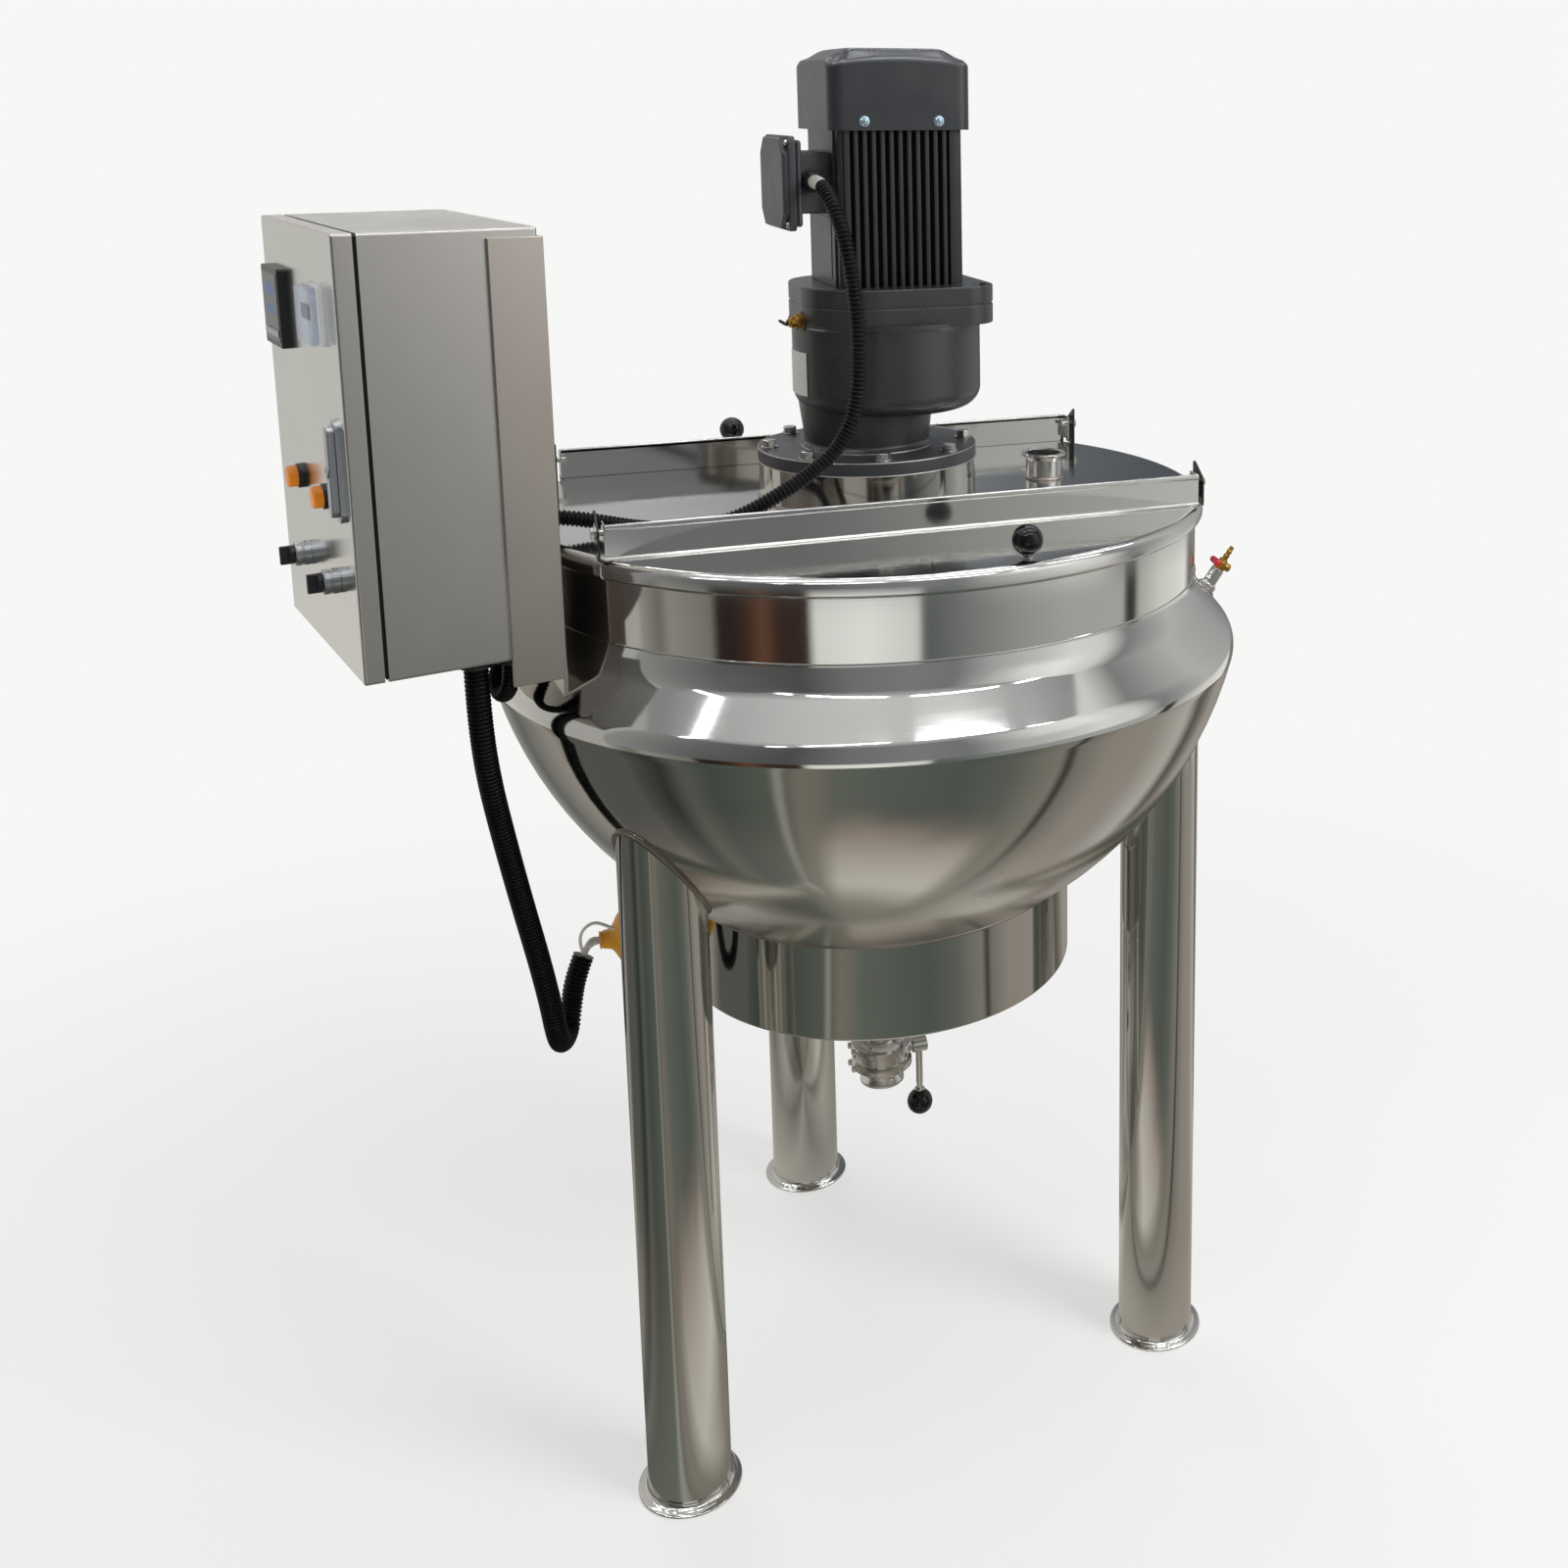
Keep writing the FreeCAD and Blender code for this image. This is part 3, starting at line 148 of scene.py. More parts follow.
def castPaint(name, first, second, dull):
    # dark enamel sprayed on castings: soft sheen over a slightly pebbled skin
    material, tree, shader = startMaterial(name, first, 0.0, dull, {"IOR": 1.5})
    blendColours(tree, shader, grain(tree, 6.0, (1, 1, 1), 1.0), first, second)
    tree.links.new(spread(tree, grain(tree, 18.0, (1, 1, 1), 1.0), dull - 0.02, dull + 0.04),
                   shader.inputs["Roughness"])
    bumpOn(tree, shader, grain(tree, 420.0, (1, 1, 1), 1.0), 0.00001)   # pebbles of about 2 mm
    return material


def moulded(name, first, dull, second=None, pebble=900.0, shine=0.5):
    # injection-moulded plastic or rubber: even colour, fine texture from the mould
    material, tree, shader = startMaterial(name, first, 0.0, dull,
                                           {"IOR": 1.46, "Specular IOR Level": shine})
    blendColours(tree, shader, grain(tree, 30.0, (1, 1, 1), 2.0), first, second or first)
    bumpOn(tree, shader, grain(tree, pebble, (1, 1, 1), 1.0), 0.00003)
    return material


def castBrass(name):
    # turned brass, gone dull and brown in places
    material, tree, shader = startMaterial(name, "#b98f45", 1.0, 0.28)
    spots = grain(tree, 90.0, (1, 1, 1), 3.0)
    blendColours(tree, shader, spread(tree, spots, 0.0, 1.0), "#c9a052", "#8d6a30")
    tree.links.new(spread(tree, spots, 0.2, 0.42), shader.inputs["Roughness"])
    return material


def platedSteel(name, hexColour, dull):
    # zinc plate, chrome or bare bright metal: clear reflections broken by small scuffs
    material, tree, shader = startMaterial(name, hexColour, 1.0, dull)
    scuffs = grain(tree, 40.0, (1, 1, 1), 1.0)
    tree.links.new(spread(tree, scuffs, dull * 0.95, dull * 1.08), shader.inputs["Roughness"])
    return material


def litPlastic(name, hexColour, strength):
    material, tree, shader = startMaterial(name, "#0c1220", 0.0, 0.3, {"Emission Color": linear(hexColour),
                                                                    "Emission Strength": strength})
    return material


def clearPlastic(name, hexColour, dull, alpha):
    material, tree, shader = startMaterial(name, hexColour, 0.0, dull, {"IOR": 1.49, "Alpha": alpha})
    return material


aroundLines = (3, 3, 260)      # buffing lines about 4 mm apart where they show
lidLines = (6, 240, 6)
materials = {
    "potSteel": polishedSteel("potSteel", aroundLines, 0.075),
    "bowlSteel": polishedSteel("bowlSteel", aroundLines, 0.07, (0.78, 0.96, 2.8)),
    "legSteel": polishedSteel("legSteel", aroundLines, 0.085),
    "lidSteel": polishedSteel("lidSteel", lidLines, 0.09, waves=0.00012),
    "fittingSteel": polishedSteel("fittingSteel", aroundLines, 0.14),
    "doorSteel": polishedSteel("doorSteel", (240, 6, 6), 0.16),
    "cabinetSteel": brushedSteel("cabinetSteel", (30, 30, 700), "#c9c5bf", "#b0aca6", 0.30),
    "bracketSteel": brushedSteel("bracketSteel", (30, 30, 700), "#bdb5ac", "#a9a097", 0.32),
    "weldSteel": brushedSteel("weldSteel", (90, 90, 90), "#a8a29a", "#8a8078", 0.36),
    "gearPaint": castPaint("gearPaint", "#2c2e2f", "#292b2c", 0.27),
    "cowlPaint": castPaint("cowlPaint", "#26282b", "#232528", 0.27),
    "terminalPaint": castPaint("terminalPaint", "#343639", "#2c2e31", 0.36),
    "motorPaint": castPaint("motorPaint", "#1e1f21", "#191a1c", 0.28),
    "flangePaint": castPaint("flangePaint", "#37383b", "#2c2d30", 0.36),
    # ear plates: bright steel given a dark base colour, a painted reflection of the dark surroundings it
    # mirrors
    "earPaintedDarkReflection": platedSteel("earPaintedDarkReflection", "#4d4b48", 0.18),
    "boltSteel": platedSteel("boltSteel", "#c9c7c2", 0.16),
    "zincScrew": platedSteel("zincScrew", "#b9d3dc", 0.20),
    "wornSteel": platedSteel("wornSteel", "#b9b8b4", 0.30),
    "chromeRing": platedSteel("chromeRing", "#b4b7ba", 0.34),
    "plateAluminium": platedSteel("plateAluminium", "#c3c4c3", 0.42),
    "galvanisedSheet": platedSteel("galvanisedSheet", "#b4b8ba", 0.36),
    "blackNylon": moulded("blackNylon", "#151516", 0.42, "#1b1b1c"),
    "conduitPlastic": moulded("conduitPlastic", "#030304", 0.30, "#070708", shine=0.22),
    "ballPhenolic": moulded("ballPhenolic", "#080809", 0.08),
    "blackPlastic": moulded("blackPlastic", "#17181a", 0.34, "#1e1f21"),
    "whitePlastic": moulded("whitePlastic", "#e9eaec", 0.42, "#dfe0e3"),
    "greyPlastic": moulded("greyPlastic", "#b9bcbd", 0.4, "#aeb1b2"),
    "doorGasket": moulded("doorGasket", "#0c0c0c", 0.75),
    "bootRubber": moulded("bootRubber", "#e3a114", 0.38, "#d8930e"),
    "tapPlastic": moulded("tapPlastic", "#c2121c", 0.3, "#b00f18"),
    "wireSleeve": moulded("wireSleeve", "#dcd8d0", 0.5, "#c9c4ba"),
    "gasketSilicone": moulded("gasketSilicone", "#e6e4df", 0.5),
    "turnedBrass": castBrass("turnedBrass"),
    "lensOrange": moulded("lensOrange", "#f0820a", 0.25, "#f79a2a"),
    "displayGlass": moulded("displayGlass", "#0b0e12", 0.22),
    "blueDisplay": litPlastic("blueDisplay", "#2b7fd8", 0.35),
    "clearCover": clearPlastic("clearCover", "#b9c6dc", 0.10, 0.42),
}
print("materials made:", len(materials))


def finishPiece(name, bm, material, body, matrix=None, smoothAngle=30, weighted=True):
    if matrix is not None:
        bmesh.ops.transform(bm, matrix=matrix, verts=bm.verts)
    mesh = bpy.data.meshes.new(name)
    bm.to_mesh(mesh)
    bm.free()
    mesh.shade_smooth()
    mesh.set_sharp_from_angle(angle=math.radians(smoothAngle))
    piece = bpy.data.objects.new(name, mesh)
    scene.collection.objects.link(piece)
    mesh.materials.append(materials[material])
    if weighted:
        modifier = piece.modifiers.new("evenShading", "WEIGHTED_NORMAL")
        modifier.keep_sharp = True
    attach(piece, body)
    return piece


# points are (radius, height); an arc is (centre radius, centre height, degrees), clockwise positive
def traceProfile(bm, start, steps, arcStep=6):
    last = bm.verts.new((start[0], 0, start[1]))
    for step in steps:
        if len(step) == 2:
            made = bmesh.ops.extrude_vert_indiv(bm, verts=[last])
            last = made["verts"][0]
            last.co = (step[0], 0, step[1])
        else:
            count = max(2, round(abs(step[2]) / arcStep))
            made = bmesh.ops.spin(bm, geom=[last], cent=(step[0], 0, step[1]), axis=(0, 1, 0),
                                  angle=math.radians(step[2]), steps=count, use_duplicate=False)
            last = vertsIn(made["geom_last"])[0]
    return last


def turned(start, steps, around=64, arcStep=6):
    bm = bmesh.new()
    traceProfile(bm, start, steps, arcStep)
    bmesh.ops.remove_doubles(bm, verts=bm.verts, dist=1e-6)
    bmesh.ops.spin(bm, geom=bm.verts[:] + bm.edges[:], cent=(0, 0, 0), axis=(0, 0, 1), angle=math.tau,
                   steps=around, use_merge=True, use_duplicate=False)
    bmesh.ops.remove_doubles(bm, verts=bm.verts, dist=1e-6)
    bmesh.ops.recalc_face_normals(bm, faces=bm.faces)
    return bm


def along(origin, direction):
    turn = Vector(direction).to_track_quat("Z", "Y").to_matrix().to_4x4()
    return Matrix.Translation(Vector(origin)) @ turn


def block(low, high, bevel=0.0, segments=2):
    bm = bmesh.new()
    bmesh.ops.create_cube(bm, size=1.0)
    low, high = Vector(low), Vector(high)
    bmesh.ops.scale(bm, vec=high - low, verts=bm.verts)
    bmesh.ops.translate(bm, vec=(low + high) / 2, verts=bm.verts)
    if bevel:
        roundEdges(bm, bm.edges[:], bevel, segments, True)
    return bm


def joinInto(bm, other, matrix=None):
    if matrix is not None:
        bmesh.ops.transform(other, matrix=matrix, verts=other.verts)
    spare = bpy.data.meshes.new("spare")
    other.to_mesh(spare)
    other.free()
    bm.from_mesh(spare)
    bpy.data.meshes.remove(spare)
    return bm


# the corners, or the edges, among the parts that an operator hands back
def vertsIn(parts):
    return [part for part in parts if isinstance(part, bmesh.types.BMVert)]


def edgesIn(parts):
    return [part for part in parts if isinstance(part, bmesh.types.BMEdge)]


def roundEdges(bm, edges, size, segments=2, clamp=False):
    bmesh.ops.bevel(bm, geom=edges, offset=size, offset_type="OFFSET", segments=segments, profile=0.5,
                    affect="EDGES", material=-1, clamp_overlap=clamp)


# pulls the faces out into a solid along a vector
def pullFaces(bm, faces, vector):
    made = bmesh.ops.extrude_face_region(bm, geom=faces)
    bmesh.ops.translate(bm, vec=vector, verts=vertsIn(made["geom"]))
    bmesh.ops.recalc_face_normals(bm, faces=bm.faces)


# cuts away one side of a plane through a point (with inner, the side behind its normal) and closes the cut
def cutAway(bm, point, normal, inner=False):
    geom = bm.verts[:] + bm.edges[:] + bm.faces[:]
    cut = bmesh.ops.bisect_plane(bm, geom=geom, dist=1e-6, plane_co=point, plane_no=normal,
                                 clear_inner=inner, clear_outer=not inner)
    bmesh.ops.edgenet_fill(bm, edges=edgesIn(cut["geom_cut"]))


# a merged copy of a CAD node, with its hard edges eased
def dressedNode(node, material, body, name, bevel=0.0009, hardAngle=25):
    bm = bmesh.new()
    bm.from_mesh(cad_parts[node].data)
    bmesh.ops.remove_doubles(bm, verts=bm.verts, dist=1e-5)
    bmesh.ops.dissolve_limit(bm, angle_limit=math.radians(0.5), verts=bm.verts, edges=bm.edges)
    piece = finishPiece(name, bm, material, body, None, hardAngle, False)
    edge = piece.modifiers.new("easedEdges", "BEVEL")
    edge.width = bevel
    edge.segments = 2
    edge.limit_method = "ANGLE"
    edge.angle_limit = math.radians(hardAngle)
    edge.harden_normals = False
    edge.miter_outer = "MITER_ARC"
    even = piece.modifiers.new("evenShading", "WEIGHTED_NORMAL")
    even.keep_sharp = True
    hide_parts(node)
    return piece


# round bead or wire through the points, as a mesh
def curveMesh(name, points, radius, closed=False, sides=10):
    line = bpy.data.curves.new(name + "Line", "CURVE")
    line.dimensions = "3D"
    spline = line.splines.new("NURBS")
    spline.points.add(len(points) - 1)
    for slot, point in zip(spline.points, points):
        slot.co = (*point, 1)
    spline.order_u = 3
    spline.use_endpoint_u = not closed
    spline.use_cyclic_u = closed
    spline.resolution_u = 4
    line.bevel_depth = radius
    line.bevel_resolution = max(1, sides // 4)
    line.use_fill_caps = not closed
    holder = bpy.data.objects.new(name + "Line", line)
    mesh = bpy.data.meshes.new_from_object(holder)
    bpy.data.objects.remove(holder)
    bpy.data.curves.remove(line)
    bm = bmesh.new()
    bm.from_mesh(mesh)
    bpy.data.meshes.remove(mesh)
    return bm


def ringPoints(radius, z, count=64):
    return [Vector((radius * math.cos(math.tau * i / count), radius * math.sin(math.tau * i / count), z))
            for i in range(count)]


camera = {"place": (-0.6250 + kettle["axisX"], -2.3355, 1.7998), "pitch": 10.78, "roll": -0.07,
          "yaw": 22.40,
          "lens": 40.876, "shiftX": -0.1986, "shiftY": -0.2207}


def makeCamera():
    lens = bpy.data.cameras.new("photoCamera")
    lens.sensor_width = 36
    lens.lens = camera["lens"]
    lens.shift_x = camera["shiftX"]
    lens.shift_y = camera["shiftY"]
    lens.clip_end = 100
    holder = bpy.data.objects.new("photoCamera", lens)
    holder.location = camera["place"]
    holder.rotation_euler = (math.radians(90 - camera["pitch"]), math.radians(camera["roll"]),
                             math.radians(-camera["yaw"]))
    scene.collection.objects.link(holder)
    scene.camera = holder


workshop = {
    "wallReach": 2.9, "wallHeight": 3.4, "shine": 1.32, "patch": (0.66, 1.02),
    # what the steel mirrors, by azimuth in degrees: walls low down, walls above them, and the floor
    "walls": [(-180, "#8f8f8b"), (-172, "#6a665f"), (-168, "#8a8984"), (-153, "#75736d"), (-151, "#2a2523"),
              (-146, "#2a2220"), (-141, "#3e2c24"), (-136, "#5f4233"), (-131, "#382a24"), (-122, "#332723"),
              (-120, "#d6d9d6"), (-104, "#e4e6e3"), (-89, "#cfd2cf"), (-87, "#565a59"), (-80, "#666a69"),
              (-57, "#909392"), (-40, "#a3a6a5"), (-17, "#a8aaa8"), (-15, "#333334"), (-11, "#3a3938"),
              (-9, "#a9a9a5"), (5, "#cfcfca"), (26, "#dcdcd8"), (32, "#6d6a66"), (48, "#7d7a75"),
              (60, "#8b8984"), (90, "#aeada8"), (130, "#c2c1bb"), (160, "#a3a29d")],
    "upper": [(-180, "#8a8b8b"), (-150, "#5c5d5e"), (-125, "#4c4e50"), (-110, "#6f7173"), (-92, "#7b7d80"),
              (-78, "#74767a"), (-68, "#a3a4a5"), (-55, "#bcbdbd"), (-40, "#dcdcdb"), (-28, "#d2d2d1"),
              (-18, "#7d7e80"), (5, "#b4b5b5"),
              (30, "#9a9b9c"), (45, "#6c6f73"), (55, "#4c5055"), (64, "#62666a"), (74, "#84878a"),
              (88, "#a6a8a9"), (108, "#a9a9a6"), (118, "#b4b3af"), (140, "#b9b8b4"), (165, "#a3a3a1")],
    "floor": [(-180, "#4a4d49"), (-168, "#2f3230"), (-160, "#565853"), (-150, "#454a46"), (-135, "#50564f"),
              (-131, "#50564f"), (-130, "#878982"), (-127.5, "#7f817a"), (-126.5, "#5c5a54"),
              (-123, "#716e65"), (-116, "#6c6961"),
              (-112, "#5e635c"), (-95, "#575c56"), (-75, "#4f5550"), (-60, "#5c605a"), (-50, "#74736a"),
              (-44, "#7b7a73"), (-43, "#34352f"), (-41, "#3a3a35"), (-40, "#716f68"), (-28, "#8b867f"),
              (-10, "#8f8a83"), (8, "#aaa8a1"), (16, "#504c47"),
              (30, "#908c85"), (60, "#757370"), (90, "#9a9891"), (120, "#5e605d"), (145, "#8f8a83"),
              (155, "#52524f")],
    "patchShare": [(-180, "#6a6a6a"), (-150, "#565656"), (-120, "#5b5b5b"), (-110, "#f4f4f4"),
                   (-62, "#ffffff"),
                   (-52, "#6a6a6a"), (-40, "#7a7a7a"), (0, "#b0b0b0"), (40, "#8a8a8a"), (150, "#8a8a8a")],
    "patchColours": [(0.0, "#6b675f"), (0.22, "#837e75"), (0.40, "#bebbb2"), (0.60, "#aca69d"),
                     (0.78, "#958a81"),
                     (1.0, "#7d726a")],
    "ceiling": [(0.0, "#6f7070"), (0.50, "#8f9090"), (0.70, "#85878a"), (0.84, "#8e9092"),
                (0.93, "#d0d2d3"),
                (1.0, "#eceeef")],
    "tubeRows": (-2.1, -0.75, 0.55, 1.9), "tubeStarts": (-3.0, -1.45, 0.1, 1.65),
}


def makeWorld():
    # light from all round; the camera itself sees plain near-white
    world = bpy.data.worlds.new("workshop")
    scene.world = world
    world.use_nodes = True
    tree = world.node_tree
    tree.nodes.clear()
    direction = addNode(tree, "ShaderNodeTexCoord").outputs["Generated"]
    axes = addNode(tree, "ShaderNodeSeparateXYZ", None, {"Vector": direction})
    height = addNode(tree, "ShaderNodeMapRange", {"From Min": -1.0, "From Max": 1.0},
                     {"Value": axes.outputs["Z"]}).outputs["Result"]
    levels = addNode(tree, "ShaderNodeValToRGB", None, {"Fac": height})
    fillRamp(levels, workshop["ceiling"])
    mirrored = addNode(tree, "ShaderNodeBackground", {"Strength": 1.15}, {"Color": levels.outputs["Color"]})
    plain = addNode(tree, "ShaderNodeBackground", {"Color": linear("#f7f7f6"), "Strength": 1.0})
    seen = addNode(tree, "ShaderNodeLightPath").outputs["Is Camera Ray"]
    both = addNode(tree, "ShaderNodeMixShader", None, {0: seen, 1: mirrored.outputs[0],
                                                       2: plain.outputs[0]})
    addNode(tree, "ShaderNodeOutputWorld", None, {"Surface": both.outputs[0]})


# a ramp that runs round the kettle by azimuth
def roundTheRoom(tree, axes, colours):
    angle = addNode(tree, "ShaderNodeMath", {"operation": "ARCTAN2"},
                    {0: axes.outputs["Y"], 1: axes.outputs["X"]})
    turn = addNode(tree, "ShaderNodeMapRange", {"From Min": -math.pi, "From Max": math.pi},
                   {"Value": angle.outputs[0]}).outputs["Result"]
    ramp = addNode(tree, "ShaderNodeValToRGB", None, {"Fac": turn})
    fillRamp(ramp, [((degrees + 180) / 360, colour) for degrees, colour in colours])
    return ramp.outputs["Color"]


# walls, a dark floor and ceiling tubes that only reflections see: the polished steel needs a room to mirror
def makeWorkshop():
    w = workshop
    wall = bmesh.new()
    bmesh.ops.create_cone(wall, cap_ends=False, segments=96, radius1=w["wallReach"], radius2=w["wallReach"],
                          depth=w["wallHeight"])
    bmesh.ops.translate(wall, vec=(0, 0, w["wallHeight"] / 2), verts=wall.verts)
    ground = bmesh.new()
    bmesh.ops.create_circle(ground, cap_ends=True, segments=96, radius=w["wallReach"])
    tubes = bmesh.new()
    for y in w["tubeRows"]:
        for x in w["tubeStarts"]:
            joinInto(tubes, block((x, y, w["wallHeight"]), (x + 1.2, y + 0.09, w["wallHeight"] + 0.03)))
    for name, bm in (("workshopWalls", wall), ("workshopFloor", ground), ("workshopTubes", tubes)):
        mesh = bpy.data.meshes.new(name)
        bm.to_mesh(mesh)
        bm.free()
        piece = bpy.data.objects.new(name, mesh)
        scene.collection.objects.link(piece)
        material = bpy.data.materials.new(name)
        material.use_nodes = True
        tree = material.node_tree
        tree.nodes.clear()
        coords = addNode(tree, "ShaderNodeTexCoord").outputs["Object"]
        axes = addNode(tree, "ShaderNodeSeparateXYZ", None, {"Vector": coords})
        glow = addNode(tree, "ShaderNodeEmission", {"Color": linear("#f4f6fa"), "Strength": 15.0})
        if name == "workshopWalls":
            high = addNode(tree, "ShaderNodeMapRange", {"From Min": 0.50, "From Max": 0.66},
                           {"Value": axes.outputs["Z"]}).outputs["Result"]
            colour = addNode(tree, "ShaderNodeMix", {"data_type": "RGBA"},
                             {0: high, 6: roundTheRoom(tree, axes, w["walls"]),
                              7: roundTheRoom(tree, axes, w["upper"])}).outputs[2]
        if name == "workshopFloor":
            reach = addNode(tree, "ShaderNodeVectorMath", {"operation": "LENGTH"},
                            {0: coords}).outputs["Value"]
            cloud = addNode(tree, "ShaderNodeTexNoise", {"Scale": 1.6, "Detail": 2.0},
                            {"Vector": coords}).outputs["Fac"]
            uneven = addNode(tree, "ShaderNodeMath", {"operation": "MULTIPLY_ADD", 1: 0.5},
                             {0: cloud, 2: reach})
            near = addNode(tree, "ShaderNodeMapRange",
                           {"From Min": w["patch"][0] + 0.25, "From Max": w["patch"][1] + 0.25,
                            "To Min": 1.0,
                            "To Max": 0.0, "interpolation_type": "SMOOTHSTEP"},
                           {"Value": uneven.outputs[0]}).outputs["Result"]
            near = addNode(tree, "ShaderNodeMath", {"operation": "MULTIPLY"},
                           {0: near, 1: roundTheRoom(tree, axes, w["patchShare"])}).outputs[0]
            patch = addNode(tree, "ShaderNodeValToRGB", None, {"Fac": reach})
            fillRamp(patch, w["patchColours"])
            colour = addNode(tree, "ShaderNodeMix", {"data_type": "RGBA"},
                             {0: near, 6: roundTheRoom(tree, axes, w["floor"]),
                              7: patch.outputs["Color"]}).outputs[2]
        if name != "workshopTubes":
            glow.inputs["Strength"].default_value = w["shine"]
            tree.links.new(colour, glow.inputs["Color"])
        addNode(tree, "ShaderNodeOutputMaterial", None, {"Surface": glow.outputs[0]})
        mesh.materials.append(material)
        for ray in ("camera", "diffuse", "shadow", "transmission", "volume_scatter"):
            setattr(piece, "visible_" + ray, False)


def addLamp(name, place, aim, size, power, tint="#ffffff"):
    lamp = bpy.data.lights.new(name, "AREA")
    lamp.shape = "RECTANGLE"
    lamp.size, lamp.size_y = size
    lamp.energy = power
    lamp.color = linear(tint)[:3]
    holder = bpy.data.objects.new(name, lamp)
    holder.matrix_world = along(place, Vector(place) - Vector(aim))
    scene.collection.objects.link(holder)


def makeStudio():
    bm = bmesh.new()
    bmesh.ops.create_grid(bm, x_segments=1, y_segments=1, size=30)
    mesh = bpy.data.meshes.new("paleFloor")
    bm.to_mesh(mesh)
    bm.free()
    floor = bpy.data.objects.new("paleFloor", mesh)
    scene.collection.objects.link(floor)
    pale, tree, shader = startMaterial("paleFloor", "#f4f4f2", 0.0, 0.7)
    # away from the kettle the floor goes over into the plain backdrop
    coords = addNode(tree, "ShaderNodeTexCoord").outputs["Object"]
    reach = addNode(tree, "ShaderNodeVectorMath", {"operation": "LENGTH"}, {0: coords}).outputs["Value"]
    far = addNode(tree, "ShaderNodeMapRange", {"From Min": 0.3, "From Max": 2.8, "To Min": 0.5,
                                           "interpolation_type": "SMOOTHSTEP"},
                  {"Value": reach}).outputs["Result"]
    glow = addNode(tree, "ShaderNodeEmission", {"Color": linear("#f7f7f6"), "Strength": 1.0})
    both = addNode(tree, "ShaderNodeMixShader", None, {0: far, 1: shader.outputs[0], 2: glow.outputs[0]})
    tree.links.new(both.outputs[0], tree.nodes["Material Output"].inputs["Surface"])
    mesh.materials.append(pale)
    floor.visible_glossy = False      # polished steel mirrors the workshop's dark floor instead
    addLamp("softKey", (2.6, -3.0, 3.0), (0, 0, 1.0), (1.8, 1.8), 120)
    addLamp("softFill", (-3.2, -2.2, 2.4), (0, 0, 0.9), (1.4, 2.0), 9)
    addLamp("softBack", (-0.6, 3.4, 3.0), (0, 0, 1.0), (2.6, 1.4), 32)
    scene.view_settings.view_transform = "Standard"
    scene.view_settings.look = "None"


makeCamera()
makeWorld()
makeWorkshop()
makeStudio()
print("camera, workshop and floor ready")


vessel = {
    "wall": 0.450, "sheet": 0.004, "rim": 1.266, "beadTop": 1.256, "beadLow": 1.248, "beadOut": 0.454,
    "bowlCentre": (-0.029329, 1.187453), "potBowl": 0.498, "jacketBowl": 0.550,
    "shoulderCentre": (0.465, 1.062), "shoulder": 0.040, "coneAngle": 50.4, "coveRadius": 0.060,
    "outletHole": 0.0254, "skirt": 0.273, "skirtTop": 0.728, "skirtLow": 0.596,
}


# height of a bowl's arc at a radius, and the angle of that point in degrees
def onBowl(arc, radius):
    r0, z0 = vessel["bowlCentre"]
    fall = math.sqrt(arc ** 2 - (radius - r0) ** 2)
    return z0 - fall, math.degrees(math.atan2(-fall, radius - r0))


def makePot():
    v = vessel
    inner, outer = v["potBowl"] - v["sheet"], v["potBowl"]
    wallIn = v["wall"] - v["sheet"]
    zOut, angleOut = onBowl(outer, v["wall"])
    zHole, angleHole = onBowl(outer, v["outletHole"])
    zIn, angleIn = onBowl(inner, wallIn)
    angleHoleIn = onBowl(inner, v["outletHole"])[1]
    bead, beadLow, beadTop = v["beadOut"], v["beadLow"], v["beadTop"]
    bm = turned((v["wall"], zOut), [
        (v["wall"], beadLow), (bead - 0.001, beadLow), (bead, beadLow + 0.001),
        (bead, beadTop - 0.001), (bead - 0.001, beadTop), (v["wall"], beadTop),
        (v["wall"], v["rim"] - 0.001), (v["wall"] - 0.001, v["rim"]), (wallIn + 0.001, v["rim"]),
        (wallIn, v["rim"] - 0.001), (wallIn, zIn),
        (*v["bowlCentre"], angleIn - angleHoleIn),
        (v["outletHole"], zHole), (*v["bowlCentre"], angleHole - angleOut),
    ], kettle["around"], 3)
    pot = finishPiece("potWall", bm, "potSteel", "kettle", kettleAxis)
    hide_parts("inner_pot")


